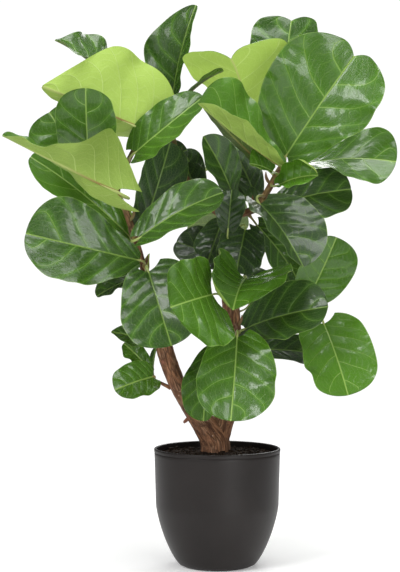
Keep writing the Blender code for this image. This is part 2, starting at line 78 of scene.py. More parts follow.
# Stems, from the root end up: x, y, z and radius of each point.
STEMS = {
    "trunk": (
        (-4, 0, 200, 29), (-4, 0, 240, 31), (-6, 0, 265, 31), (-24, -5, 295, 27), (-58, -10, 340, 19),
        (-84, -10, 385, 18), (-104, -10, 435, 18.5), (-116, -10, 475, 18), (-128, -15, 520, 17),
    ),
    "left_shoot": (
        (-134, -15, 530, 8), (-144, -20, 585, 8), (-156, -20, 630, 7.8), (-170, -20, 680, 7.5),
        (-182, -30, 720, 7), (-198, -30, 765, 6.5), (-212, -35, 795, 6), (-202, -35, 835, 6),
        (-186, -30, 870, 5.5), (-172, -25, 900, 5), (-166, -20, 920, 5),
    ),
    "right_stem": (
        (0, 0, 265, 24), (14, 10, 310, 23), (30, 20, 360, 21), (36, 30, 435, 20), (32, 35, 525, 19),
        (26, 40, 610, 18), (28, 40, 695, 17), (32, 40, 775, 16),
    ),
    "right_shoot": (
        (32, 40, 750, 8), (60, 20, 755, 8), (84, -10, 765, 8), (98, -30, 785, 7), (110, -40, 805, 7),
        (124, -45, 830, 7), (138, -50, 855, 6),
    ),
    "centre_shoot": (
        (30, 40, 730, 7), (-4, 40, 760, 7), (-38, 30, 795, 6), (-66, 30, 830, 6), (-82, 20, 865, 6),
        (-94, 30, 915, 5), (-100, 30, 960, 4.5), (-102, 30, 990, 4.5),
    ),
    "front_twig": (
        (32, 30, 410, 4), (40, -20, 460, 4), (38, -50, 485, 4), (42, -60, 520, 3.5), (38, -70, 550, 3.5),
        (14, -80, 570, 3),
    ),
    "left_twig": (
        (-112, -10, 385, 3.5), (-140, -20, 400, 3), (-148, -25, 405, 2.5),
    ),
    "right_twig": (
        (32, 35, 490, 6), (62, 20, 490, 6), (96, 10, 500, 5.5), (134, 0, 530, 5), (172, -5, 550, 4.5),
        (206, -10, 560, 4),
    ),
    "back_shoot": (
        (32, 40, 695, 7), (32, 90, 755, 7), (28, 120, 800, 6), (22, 140, 845, 5.5),
    ),
}

# How each stem looks: share of old wood at its foot and at its tip, and the swelling at its foot, which
# is zero for the two that rise from the soil. The others start inside their parents.
STEM_AGE = {
    "trunk": (1.0, 1.0, 0.0),
    "right_stem": (1.0, 0.95, 0.0),
    "left_shoot": (0.85, 0.25, 0.5),
    "right_shoot": (0.75, 0.30, 0.5),
    "centre_shoot": (0.75, 0.25, 0.5),
    "back_shoot": (0.75, 0.25, 0.5),
    "front_twig": (0.90, 0.45, 0.4),
    "left_twig": (0.95, 0.70, 0.4),
    "right_twig": (0.90, 0.45, 0.4),
}

# Stubs and pruned ends on the old wood: where each starts and ends, and its radii.
STUBS = (
    ((-58, -12, 318), (-74, -20, 304), 5.0, 3.0), ((-116, -24, 432), (-124, -32, 434), 6.5, 5.0),
    ((-100, -26, 402), (-96, -31, 405), 5.5, 4.0), ((36, 12, 345), (50, 0, 352), 5.0, 3.6),
    ((18, 36, 640), (4, 50, 652), 5.5, 4.0), ((-92, 6, 380), (-84, 18, 392), 5.0, 3.5),
)

# Brown scales and stipules: foot, tip and width, and how green each is.
SCALES = (
    ((-204, -37, 795), (-214, -46, 822), 7, 0.5), ((-208, -38, 803), (-198, -44, 832), 6, 0.2),
    ((-202, -34, 838), (-190, -42, 862), 6, 0.1), ((-186, -36, 735), (-176, -46, 762), 7, 0.3),
    ((-176, -28, 700), (-188, -38, 722), 6, 0.1), ((-158, -28, 640), (-148, -38, 664), 6, 0.0),
    ((-146, -26, 596), (-156, -34, 616), 6, 0.0), ((122, -50, 836), (132, -60, 862), 7, 0.2),
    ((112, -46, 812), (102, -56, 838), 7, 0.1), ((98, -38, 788), (106, -48, 812), 6, 0.0),
    ((84, -18, 768), (76, -28, 790), 6, 0.0), ((40, -64, 512), (50, -72, 536), 6, 0.1),
    ((38, -72, 545), (30, -82, 566), 6, 0.2), ((42, -60, 500), (34, -68, 520), 6, 0.0),
    ((94, 6, 500), (108, -6, 490), 7, 0.0), ((-100, 22, 930), (-110, 14, 952), 6, 0.2),
    ((-84, 12, 872), (-74, 4, 894), 6, 0.0), ((28, 112, 800), (38, 104, 826), 6, 0.1),
    ((172, -8, 552), (180, -16, 572), 6, 0.0), ((134, -4, 532), (124, -12, 548), 6, 0.0),
)

# Buds at the ends of the shoots: foot, tip and width.
BUDS = (
    ((138, -50, 850), (148, -60, 894), 13), ((-102, 28, 985), (-104, 18, 1024), 11),
    ((-166, -20, 915), (-160, -30, 950), 11), ((22, 140, 840), (18, 152, 876), 11),
    ((206, -10, 556), (218, -22, 578), 8), ((14, -80, 566), (6, -92, 590), 8),
    ((-86, -12, 648), (-78, -16, 684), 15),
)

# Every leaf value not given in its row. Angles are in degrees, and the rest are fractions: fold and
# curl turn each half up from the midrib, arch and sway bow the midrib, hook drops the tip, cord sends
# the base lobes back, notch sends the end lobes forward, left and right are the half widths from
# base to tip, and veins is how many side veins each half has.
PLAIN_LEAF = dict(
    fold=(12, 12), curl=(10, 10), arch=0.06, sway=0, twist=0, hook=0, wave=0.05, waves=3,
    phase=0, cord=0.10, notch=0, left=(0.6, 0.78, 0.98, 1, 0.75), right=None, veins=5,
)

# Leaves: name, the stem each grows from, blade base and tip and full width, the way its upper side
# faces, its tone, and what its outline has of its own. The tone is painted light and shade as well as the
# leaf's own freshness: it is low on leaves that lie in shade, such as the shade leaves, and high on bright
# and backlit ones.
LEAVES = (
    ("leaf_left_back_high", "left_shoot", (-220, 40, 1030), (-345, -30, 1120), 155, (-.3, -.45, .8), -0.15,
     dict(fold=(5, 20), wave=.08, left=(.6, .9, .9, .4, .1), right=(.7, 1.1, 1.25, .75, .12))),
    ("leaf_left_pale_high", "left_shoot", (-165, -75, 930), (-360, -140, 1005), 280, (-.1, .8, .6), 1,
     dict(fold=(42, 30), curl=(8, 5), cord=.34, left=(.95, 1, 1, .5, .08), right=(.25, .5, .6, .3, .08),
          arch=.02)),
    ("leaf_left_glossy_upright", "left_shoot", (-270, -60, 840), (-270, -150, 1000), 125, (-.05, -.9, .4),
     0.1, dict(arch=.05, fold=(4, 4), left=(.7, .9, 1, 1, .85))),
    ("leaf_left_rear_round", "left_shoot", (-295, 35, 870), (-365, 35, 975), 135, (-.25, -.85, .3), 0.25,
     dict(left=(.7, .95, 1.1, 1.05, .85))),
    ("leaf_left_pale_low", "left_shoot", (-200, -170, 785), (-420, -280, 890), 240, (-.1, .8, .55), 0.65,
     dict(fold=(35, 30), curl=(5, 5), cord=.26, left=(.72, 1.05, .45, .22, .25),
          right=(.3, .3, .25, .25, .2), twist=150, arch=-.01)),
    ("leaf_left_long", "left_shoot", (-185, -5, 700), (-395, -50, 870), 105, (-.2, -.7, .65), 0.55,
     dict(left=(.4, .6, .9, 1.1, .8))),
    ("leaf_left_pale_under", "left_shoot", (-180, 20, 690), (-315, 30, 825), 100, (-.2, .6, .7), 0.8,
     dict(cord=0)),
    ("leaf_left_broad", "left_shoot", (-160, -50, 650), (-395, -130, 705), 190, (-.2, -.9, .3), -0.35,
     dict(left=(.3, .62, .95, .95, .7), right=(.3, .5, .85, 1, .8), sway=-.02, cord=0)),
    ("leaf_left_small_low", "left_shoot", (-170, -25, 615), (-255, -50, 575), 60, (-.2, -.6, .8), -0.3,
     dict(wave=.12)),
    ("leaf_centre_fan", "left_shoot", (-175, -72, 875), (-30, -132, 985), 105, (.3, -.7, .6), 0.1,
     dict(arch=.05, left=(.7, .95, 1, .85, .6), sway=.03)),
    ("leaf_top_upright", "centre_shoot", (-98, 63, 1002), (-46, 12, 1203), 160, (-.1, -.9, .2), -0.35,
     dict(fold=(12, 62), curl=(5, 5), left=(.2, .72, 1, .66, .25), right=(.25, .6, .8, .6, .25), sway=-.02)),
    ("leaf_top_pale_heart", "right_shoot", (74, 8, 958), (27, -118, 1073), 232, (.1, .62, .75), 1.5,
     dict(fold=(22, 22), curl=(-12, -12), left=(.4, .6, .85, 1.05, 1), hook=.05, arch=.04, notch=.26,
          wave=.05)),
    ("leaf_right_trough", "right_shoot", (125, -135, 845), (-40, -220, 960), 210, (.1, -.85, .55), 0.7,
     dict(fold=(78, 4), curl=(6, 4), left=(.2, .4, .55, .5, .25), right=(.2, .5, .95, 1.05, .85),
          arch=-.03)),
    ("leaf_right_under_trough", "right_shoot", (110, 20, 850), (-30, 20, 990), 85, (.3, .5, .8), -0.2,
     dict(sway=.1, left=(.3, .6, 1, .8, .4))),
    ("leaf_right_largest", "right_shoot", (140, -75, 865), (280, -140, 1070), 255, (.05, -.95, .3), 0.2,
     dict(fold=(8, 8), left=(.5, .82, 1, 1, .85), right=(.35, .5, .78, .87, .75), notch=.12, arch=.05)),
    ("leaf_right_back_high", "right_shoot", (145, 50, 1010), (165, 80, 1185), 160, (-.2, -.9, .3), -0.35,
     dict(wave=.06, waves=4, left=(.6, .8, 1, 1.05, 1), right=(.6, .8, .9, .9, .9), notch=.06)),
    ("leaf_right_reaching", "right_shoot", (160, -30, 850), (370, -100, 855), 145, (0, -.5, .85), 0.2,
     dict(cord=0, twist=-60, fold=(5, 5), left=(.5, .7, .9, 1.1, .9))),
    ("leaf_right_young_folded", "right_shoot", (125, -115, 805), (200, -180, 820), 95, (.1, -.7, .7), 0.75,
     dict(fold=(40, 10), curl=(120, 5), left=(.3, .6, 1, 1.1, .8))),
    ("leaf_right_young_cup", "right_shoot", (115, -108, 833), (65, -133, 848), 80, (-.1, -.7, .7), 0.5,
     dict(left=(.7, .9, 1, 1, .9), fold=(20, 20))),
    ("leaf_right_dark_side", "right_shoot", (115, -50, 765), (280, -70, 800), 120, (.2, -.85, .5), -0.6,
     dict(cord=0, left=(.4, .6, .85, .9, .8), right=(.5, .9, 1.2, 1.25, 1))),
    ("leaf_right_hanging", "right_shoot", (85, -100, 770), (170, -195, 635), 170, (.4, -.85, .3), -0.8,
     dict(left=(.8, 1, 1.1, .95, .6), right=(.6, .7, .65, .5, .3), fold=(8, 25))),
    ("leaf_centre_round", "right_stem", (60, -10, 720), (40, -10, 625), 105, (0, -.95, .2), -0.75,
     dict(left=(.8, .95, 1, .95, .8))),
    ("leaf_centre_hanging", "right_shoot", (85, 20, 730), (175, 20, 610), 95, (.2, -.8, .5), -0.3),
    ("leaf_right_round", "right_twig", (195, -20, 575), (250, -60, 700), 115, (.3, -.9, .3), 0.35,
     dict(left=(.7, .9, .95, .9, .7), right=(.7, .95, 1.1, 1.1, .9))),
    ("leaf_right_dark_low", "right_twig", (55, -40, 505), (225, -140, 555), 135, (.1, -.85, .5), -0.65,
     dict(left=(.5, .75, 1, 1, .8), right=(.5, .75, 1, 1, .8))),
    ("leaf_right_lowest", "right_twig", (225, -30, 520), (270, -100, 370), 160, (.1, -.85, .4), 0.85,
     dict(left=(.8, .95, 1, .95, .8), right=(.8, .9, 1, .95, .8))),
    ("leaf_right_olive_low", "right_twig", (85, 0, 460), (235, 30, 445), 75, (0, -.8, .6), -0.8),
    ("leaf_front_low", "front_twig", (40, -110, 495), (25, -180, 325), 165, (.05, -.95, .3), 0.1,
     dict(left=(.6, .9, 1.05, 1, .8), right=(.5, .75, .95, .95, .75))),
    ("leaf_front_low_rear", "front_twig", (-10, -40, 460), (-30, -80, 315), 95, (-.3, -.9, .3), -0.1,
     dict(left=(.5, .6, .7, .6, .5), right=(.5, .8, 1.1, 1, .8))),
    ("leaf_front_wavy", "front_twig", (-10, -130, 580), (-95, -220, 555), 185, (.5, -.75, .3), 0.35,
     dict(left=(1, 1.15, 1.2, 1.1, .9), right=(.9, .9, .9, .9, .8), fold=(5, 5), curl=(15, 25))),
    ("leaf_front_cup", "right_stem", (60, -30, 615), (30, -175, 550), 180, (-.15, -.6, .8), 0.5,
     dict(left=(1.05, 1.25, 1.3, 1.2, .9), right=(.9, 1, 1, 1, .9), fold=(10, 25), curl=(20, 75), cord=0)),
    ("leaf_left_low_round", "left_shoot", (-145, -90, 630), (-95, -150, 475), 165, (-.1, -.9, .35), -0.45,
     dict(left=(.8, 1, 1, .9, .75), right=(.6, .8, 1, 1, .8))),
    ("leaf_left_low_muted", "trunk", (-150, -20, 480), (-225, -40, 500), 60, (-.1, -.8, .5), -0.3,
     dict(left=(.6, .8, .9, .6, .2))),
    ("leaf_left_low_curled", "left_twig", (-145, -10, 420), (-200, -20, 475), 45, (-.1, -.8, .5), 0.4,
     dict(wave=.2)),
    ("leaf_left_lowest", "left_twig", (-135, -30, 405), (-215, -80, 380), 85, (-.1, -.9, .3), 0.25,
     dict(left=(.7, .95, 1, .9, .8))),
    ("leaf_shade_left", "right_stem", (35, 80, 640), (-90, 100, 695), 105, (0, -.8, .5), -0.9),
    ("leaf_centre_long", "left_shoot", (-165, -100, 695), (10, -120, 790), 125, (.2, -.65, .7), -0.3,
     dict(left=(.5, .7, .9, .9, .7), right=(.5, .8, 1, 1, .7))),
    ("leaf_centre_dark", "left_shoot", (-161, -4, 715), (-101, -4, 905), 100, (.3, -.8, .3), -0.8,
     dict(left=(.6, .8, .9, .9, .7), right=(.5, .8, 1.1, 1.1, .8))),
    ("leaf_centre_striped", "right_shoot", (40, -5, 770), (-30, -120, 905), 95, (.3, -.9, .2), -0.55,
     dict(fold=(25, 25), left=(.15, .3, .85, 1, .8), right=(.15, .35, .85, .95, .7))),
    ("leaf_shade_right", "right_shoot", (85, 40, 790), (40, 100, 895), 75, (0, -.8, .5), -0.9,
     dict(left=(.5, .8, 1, .9, .7))),
    ("leaf_shade_centre", "centre_shoot", (-35, 50, 775), (-70, 50, 865), 65, (0, -.9, .3), -0.9),
    ("leaf_shade_tip", "centre_shoot", (-130, 70, 855), (-65, 50, 895), 70, (0, -.8, .5), -0.9),
    ("leaf_top_narrow", "centre_shoot", (-80, -15, 985), (10, -120, 1040), 40, (-.1, -.6, .8), -0.5),
    ("leaf_shade_middle", "right_stem", (10, 25, 735), (-20, 10, 650), 80, (0, -.8, .5), -0.9),
    ("leaf_shade_low", "right_stem", (70, 60, 555), (110, 50, 630), 80, (0, -.8, .5), -0.8),
    ("leaf_back_left", "back_shoot", (-25, 170, 860), (-105, 330, 810), 140, (-.1, -.3, .9), 0),
    ("leaf_back_right", "back_shoot", (35, 170, 870), (185, 340, 925), 155, (.1, -.3, .9), 0.1),
    ("leaf_back_low", "back_shoot", (25, 140, 780), (-5, 330, 670), 145, (0, .3, .9), -0.2),
    ("small_edge_on", "left_twig", (-138, -10, 397), (-131, -10, 466), 26, (-.9, -.4, .3), -0.2),
    ("small_shade_right", "right_shoot", (100, 5, 770), (20, 60, 805), 60, (0, -.6, .8), -0.8),
    ("small_shade_back", "centre_shoot", (-37, 100, 810), (-73, 100, 900), 60, (0, -.8, .5), -0.8),
    ("small_shade_fork", "right_stem", (22, -48, 716), (30, -62, 800), 66, (0, -.9, .3), -0.95),
    ("small_front_twig", "front_twig", (47, -30, 497), (94, -40, 455), 45, (0, -.8, .5), -0.5),
)


# ---- Working out surfaces ----


def unit(vector):
    """The vector, or each row of it, at length 1."""
    vector = np.asarray(vector, float)
    return vector / np.linalg.norm(vector, axis=-1, keepdims=True)


def through(values, steps):
    """A smooth curve through the given rows (Catmull-Rom), with this many steps per span."""
    rows = np.asarray(values, float)
    padded = np.vstack([2 * rows[0] - rows[1], rows, 2 * rows[-1] - rows[-2]])
    where = np.linspace(0, len(rows) - 1, (len(rows) - 1) * steps + 1)
    span = np.minimum(where.astype(int), len(rows) - 2)
    t = (where - span)[:, None]
    a, b, c, d = (padded[span + shift] for shift in range(4))
    return 0.5 * (2 * b + (c - a) * t + (2 * a - 5 * b + 4 * c - d) * t**2
                  + (3 * b - a - 3 * c + d) * t**3)


def run_along(path):
    """The distance from the path's start to each of its points."""
    return np.concatenate([[0], np.cumsum(np.linalg.norm(np.diff(path, axis=0), axis=1))])


def evenly(path, count):
    """The path's rows resampled to count rows at equal distances along it, and those distances."""
    run = run_along(path[:, :3])
    at = np.linspace(0, run[-1], count)
    return np.stack([np.interp(at, run, column) for column in path.T], axis=1), at


def circle(sides):
    """Evenly spaced angles round a ring."""
    return np.linspace(0, 2 * np.pi, sides, endpoint=False)


def ripples(x, y, seed, waves=5):
    """A smooth random swell of x and y between about -1 and 1: sines of random direction and phase,
    whose wavelengths fall from 1 unit to a third of one."""
    random = np.random.default_rng(seed)
    total = np.zeros(np.broadcast(x, y).shape)
    for step in range(waves):
        turn, shift = random.uniform(0, 2 * np.pi, 2)
        pitch = 2 * np.pi * (1 + 2 * step / waves)
        total = total + np.sin(pitch * (x * np.cos(turn) + y * np.sin(turn)) + shift) / (1 + 0.5 * step)
    return total / 2.2


def sweep(path):
    """Two directions at each point of a path, square to it and to each other, that follow it without
    twist."""
    tangents = unit(np.gradient(path, axis=0))
    side = unit(np.cross(tangents[0], (0.3, 1.0, 0.2)))
    firsts = []
    for tangent in tangents:
        side = unit(side - tangent * np.dot(side, tangent))
        firsts.append(side)
    return np.array(firsts), np.cross(tangents, firsts)


def grid_faces(rows, columns, wrap=False):
    """The four-sided faces of a grid of points, row by row."""
    row = np.arange(rows - 1)[:, None]
    column = np.arange(columns if wrap else columns - 1)[None, :]
    beside = (column + 1) % columns
    low, high = row * columns, (row + 1) * columns
    return np.stack([low + column, low + beside, high + beside, high + column], axis=-1).reshape(-1, 4)


def end_faces(rows, columns):
    """The faces from the first and last row of a wrapped grid to the two points that follow it."""
    ring = np.arange(columns)
    beside = np.roll(ring, -1)
    last, tip = (rows - 1) * columns, np.full(columns, rows * columns)
    return np.concatenate([np.stack([beside, ring, tip], axis=1),
                           np.stack([last + ring, last + beside, tip + 1], axis=1)])


class Shell:
    """Collects closed surfaces with their maps and values, and makes one mesh object of them. The value
    called grain is a vector, and every other value is a number."""

    def __init__(self, maps=(), values=()):
        self.points, self.faces, self.slots = [], [], []
        self.maps = {name: [] for name in maps}
        self.values = {name: [] for name in values}
        self.count = 0

    def add(self, points, faces, slots, maps=None, values=None, ends=None):
        """Adds one closed surface. A face is a row of corners, a map holds a pair for each corner, and a
        value holds a number or a vector for each point. ends are three-cornered faces with blank maps.
        Faces that point inward are turned round."""
        groups = [(faces, slots, maps or {})] + ([] if ends is None else [(ends, slots, {})])
        volume = 0.0
        for group, _, _ in groups:
            corners = points[group]
            for i in range(1, group.shape[1] - 1):
                cross = np.cross(corners[:, i], corners[:, i + 1])
                volume += np.einsum("ij,ij->i", corners[:, 0], cross).sum()
        way = -1 if volume < 0 else 1
        self.points.append(points)
        for group, group_slots, group_maps in groups:
            self.faces.append(group[:, ::way] + self.count)
            self.slots.append(np.broadcast_to(group_slots, len(group)))
            for name, store in self.maps.items():
                pairs = group_maps.get(name, np.zeros((*group.shape, 2)))
                store.append(pairs[:, ::way].reshape(-1, 2))
        for name, store in self.values.items():
            size = (len(points), 3) if name == "grain" else len(points)
            store.append(np.broadcast_to((values or {}).get(name, 0.0), size))
        self.count += len(points)

    def make(self, name, materials, sharp=50):
        """The mesh object, shaded smooth except along edges sharper than the given angle in degrees."""
        mesh = bpy.data.meshes.new(name)
        faces = [face for group in self.faces for face in group.tolist()]
        mesh.from_pydata(np.concatenate(self.points).tolist(), [], faces)
        for made in materials:
            mesh.materials.append(made)
        mesh.polygons.foreach_set("material_index", np.concatenate(self.slots).astype(np.int32))
        for label, store in self.maps.items():
            layer = mesh.uv_layers.new(name=label)
            layer.uv.foreach_set("vector", np.concatenate(store).astype(np.float32).ravel())
        for label, store in self.values.items():
            kind, key = ("FLOAT_VECTOR", "vector") if label == "grain" else ("FLOAT", "value")
            layer = mesh.attributes.new(label, kind, "POINT")
            layer.data.foreach_set(key, np.concatenate(store).astype(np.float32).ravel())
        mesh.shade_smooth()
        mesh.set_sharp_from_angle(angle=math.radians(sharp))
        mesh.validate()
        return place_in_scene(name, mesh)


def place_in_scene(name, data):
    """A new object of this mesh, light or camera, in the scene."""
    made = bpy.data.objects.new(name, data)
    bpy.context.scene.collection.objects.link(made)
    return made


def add_tube(shell, path, radii, sides, slot=0, values=None, depth=0.0, squash=1.0):
    """Adds a closed tube: rings square to a path, each point at the ring's radius plus depth, with a
    point at each end. values are given for each ring. The grain is the place round and along it."""
    first, other = sweep(path)
    angles, shape = circle(sides), (len(path), sides)
    reach = np.asarray(radii, float)[:, None] + depth + np.zeros(shape)
    rings = path[:, None] + reach[..., None] * (
        np.cos(angles)[None, :, None] * first[:, None]
        + squash * np.sin(angles)[None, :, None] * other[:, None])
    run = run_along(path)
    around = np.stack([np.cos(angles), np.sin(angles)], axis=1)[None] * np.asarray(radii)[:, None, None]
    grain = np.concatenate([around, np.broadcast_to(run[:, None, None], (*shape, 1))], axis=2)
    points = np.concatenate([rings.reshape(-1, 3), path[:1], path[-1:]])
    spread = {"grain": np.concatenate([grain.reshape(-1, 3), [[0, 0, 0]], [[0, 0, run[-1]]]])}
    for name, given in (values or {}).items():
        given = np.broadcast_to(given, len(path))
        spread[name] = np.concatenate([np.repeat(given, sides), given[:1], given[-1:]])
    shell.add(points, grid_faces(*shape, wrap=True), slot, values=spread, ends=end_faces(*shape))


# ---- Leaves ----


def leaf_frame(base, tip, facing):
    """The leaf's length, and its forward, upward and rightward directions."""
    length = np.linalg.norm(tip - base)
    forward = (tip - base) / length
    upward = np.asarray(facing, float)
    upward = unit(upward - forward * np.dot(upward, forward))
    return length, forward, upward, np.cross(forward, upward)


def blade(base, tip, width, facing, shape, s, v):
    """Points, upward directions and half widths of a blade, a row for each s from base (0) to tip (1)
    and a column for each v from the left edge (-1) to the right (1).

    The midrib is a bowed line. Each half leaves it at the fold angle and turns further by the curl
    angle, so its section is an arc whose length is the half width there: a rounded-off outline
    times a smooth curve through five values. The margin is then lifted and dropped by a sine wave.
    """
    length, forward, upward, rightward = leaf_frame(base, tip, facing)

    def midrib(at):
        bow = 4 * at * (1 - at)
        drop = np.clip((at - 0.7) / 0.3, 0, 1) ** 2
        lift = shape["arch"] * bow - shape["hook"] * drop
        return base + length * (forward * at + upward * lift + rightward * shape["sway"] * bow)

    small = 1e-3
    tangent = unit(midrib(s + small) - midrib(s - small))
    normal = unit(upward - tangent * (tangent @ upward)[:, None])
    side = np.cross(tangent, normal)
    turn = np.radians(shape["twist"]) * (s - UNTWISTED)
    cosine, sine = np.cos(turn), np.sin(turn)
    normal, side = normal * cosine - side * sine, side * cosine + normal * sine

    def half_width(values):
        table = through(np.asarray(values, float)[:, None], 8)[:, 0]
        return np.interp(s, np.linspace(0, 1, len(table)), table)

    is_left, out = v < 0, np.abs(v)
    sign = np.where(is_left, -1.0, 1.0)
    outline = np.sqrt(np.clip(1 - np.abs(2 * s - 1) ** 6, 0, 1))
    left, right = shape["left"], shape["right"] or shape["left"]
    half = width / 2 * outline * np.where(is_left, half_width(left), half_width(right))
    fold = np.radians(np.where(is_left, *shape["fold"]))
    curl = np.radians(np.where(is_left, *shape["curl"]))
    curl = np.where(curl == 0, small, curl)
    angle = fold + curl * out
    sideways = half * (np.sin(angle) - np.sin(fold)) / curl
    rise = half * (np.cos(fold) - np.cos(angle)) / curl
    swell = np.sqrt(np.sin(np.pi * np.clip(s, 0, 1)).clip(0))
    phase = shape["waves"] * s + shape["phase"] + 0.5 * is_left
    ripple = shape["wave"] * width / 2 * out**2.2 * np.sin(2 * np.pi * phase) * swell
    slide = length * (shape["notch"] * out * (1.5 - out) * s**5 - shape["cord"] * out**2 * (1 - s) ** 4)

    tangent, normal, side = (part[:, None, :] for part in (tangent, normal, side))
    local = normal * np.cos(angle)[..., None] - side * (sign * np.sin(angle))[..., None]
    points = (midrib(s)[:, None, :] + side * (sign * sideways)[..., None] + normal * rise[..., None]
              + tangent * slide[..., None] + local * ripple[..., None])
    return points, local, half


def vein_phase(s, v, veins, left, seed):
    """Counts side veins from base to tip: it is a half at each vein. A vein leaves the midrib forward
    and bends further forward as it nears the margin, and the two halves are out of step."""
    out = np.abs(v)
    start = s - 0.20 * out - 0.12 * out**2.2
    wobble = 0.05 * np.sin(5 * start + 3 * out + seed) + 0.03 * np.sin(9 * out + 2 * seed + 2 * left)
    return veins * (start + 0.35 * start * (1 - start)) + (0.20 if left else 0.62) + wobble


def leaf_sheets(base, tip, width, facing, shape, seed, settings):
    """Upper and under sheets of a blade, and what its maps need: the vein count of each half, the share
    of the way out, and the distances across and along.

    Relief on the shape that blade gives: between side veins the skin puffs up as a cosine, the midrib
    and side veins sink in as bells, a slow random swell bends the whole, and another frills the margin.
    The under sheet lies one thickness below, and stands out as a rounded ridge along the midrib and less
    along each side vein.
    """
    first, last = 0.02, 0.9985 - 0.013 * min(1, shape["notch"] / 0.06)
    t = np.linspace(0, 1, settings.rows)
    s = (first + (last - first) * (0.45 * t + 0.55 * (0.5 - 0.5 * np.cos(np.pi * t))))[:, None]
    step = np.linspace(-1, 1, settings.columns)
    v = (np.sign(step) * np.abs(step) ** 1.15)[None, :]
    points, local, half = blade(base, tip, width, facing, shape, s, v)
    out = np.abs(v)
    length = np.linalg.norm(tip - base)
    arc, run = half * v, s * length
    phases = [vein_phase(s, v, shape["veins"], left, seed) for left in (True, False)]
    phase = np.where(v < 0, *phases)
    off_vein = np.abs((phase % 1) - 0.5) * length / shape["veins"]
    inner = np.sin(np.pi * out.clip(0, 1)) ** 0.6 * np.sin(np.pi * s) ** 0.3
    puff = np.abs(np.cos(np.pi * phase)) ** 0.9 * inner
    on_vein = np.exp(-((off_vein / VEIN_HALF) ** 2)) * inner
    on_rib = np.exp(-((arc / RIB_HALF) ** 2))
    swell = ripples(arc / SWELL_PITCH, run / SWELL_PITCH, seed) * (0.25 + 0.75 * out)
    fine = ripples(arc / FINE_PITCH, run / FINE_PITCH, seed + 99) * inner
    frill = ripples(run / FRILL_PITCH + 3.0 * (v < 0), 0.3 * out, seed + 41) * out**4
    frill = frill * np.sin(np.pi * s) ** 0.4
    size = min(1.0, width / FULL_WIDTH)
    lift = (settings.pucker * size * (puff - 0.5 * inner) - settings.groove * (on_vein + 1.3 * on_rib)
            + SWELL_HEIGHT * size * swell + FINE_HEIGHT * fine + settings.frill * size * frill)
    upper = points + local * lift[..., None]
    thick = (settings.thickness * (1 - 0.45 * out**6) + VEIN_RIDGE * on_vein
             + RIB_RIDGE * (1 - 0.7 * s) * on_rib)
    under = upper - local * thick[..., None]
    return upper, under, phases, *np.broadcast_arrays(v, arc, run)


def add_blade(shell, sheets, tone_and_painted_light):
    """Adds the two sheets of a blade, joined round the margin, to the shell."""
    upper, under, phases, v, arc, run = sheets
    rows, columns = v.shape
    count = rows * columns
    row, column = np.arange(rows) * columns, np.arange(columns)
    top, on_left = grid_faces(rows, columns), column[:-1] < columns // 2
    faces, left_of = [top, top[:, ::-1] + count], [np.tile(on_left, 2 * (rows - 1))]
    for line, is_left, way in (
        (row, True, 1),
        (row + columns - 1, False, -1),
        (column, on_left, -1),
        (row[-1] + column, on_left, 1),
    ):
        a, b = line[:-1], line[1:]
        faces.append(np.stack([a, b, b + count, a + count], axis=1)[:, ::way])
        left_of.append(np.broadcast_to(is_left, len(a)))
    faces, left_of = np.concatenate(faces), np.concatenate(left_of)
    slots = np.zeros(len(faces))
    slots[len(top):2 * len(top)] = 1
    where = faces % count
    phase = np.where(left_of[:, None], *(half.ravel()[where] for half in phases))
    maps = {
        "veins": np.stack([phase, v.ravel()[where]], axis=-1),
        "span": np.stack([arc.ravel()[where], run.ravel()[where]], axis=-1),
    }
    points = np.concatenate([upper.reshape(-1, 3), under.reshape(-1, 3)])
    shell.add(points, faces, slots, maps, {"tone_and_painted_light": tone_and_painted_light})


def stem_path(name, steps=6):
    """The stem's smooth axis and its radii, in metres."""
    rows = through(STEMS[name], steps) * MM
    return rows[:, :3], rows[:, 3]


def add_stalk(shell, stem, base, forward, sheets, tone_and_painted_light, settings):
    """Adds a leaf's stalk: a bent tube from inside the stem to the blade, running out under the midrib.
    It is a quadratic curve, thick at the stem, and narrows to nothing under the blade."""
    centres, radii = stem_path(stem)
    nearest = np.argmin(np.linalg.norm(centres - (base - (0, 0, 0.012)), axis=1))
    start = centres[nearest]
    bend = base - forward * 0.35 * np.linalg.norm(base - start)
    t = np.linspace(0, 1, 15)[:, None]
    curve = (1 - t) ** 2 * start + 2 * t * (1 - t) * bend + t**2 * base
    upper, under = sheets[:2]
    middle = upper.shape[1] // 2
    rib_rows = [4, 9, 15]
    rib = under[rib_rows, middle]
    rib = rib + 0.0006 * unit(upper[rib_rows, middle] - rib)
    path = np.concatenate([curve[:-1], curve[-1:] + (rib[0] - curve[-1]) * 0.35, rib])
    reach = np.concatenate([np.full(15, 1.0), [0.95, 0.6, 0.2]])
    foot = np.linalg.norm(path - start, axis=1)
    reach = reach * (1 + 0.9 * np.exp(-(((foot - radii[nearest]).clip(0) / 0.006) ** 2)))
    size = min(1.0, 0.55 + 0.45 * np.linalg.norm(base - upper[-1, middle]) / 0.2)
    add_tube(shell, path, settings.stalk_radius * size * reach, 12, 2, values={"tone_and_painted_light": tone_and_painted_light})


# ---- Node materials ----


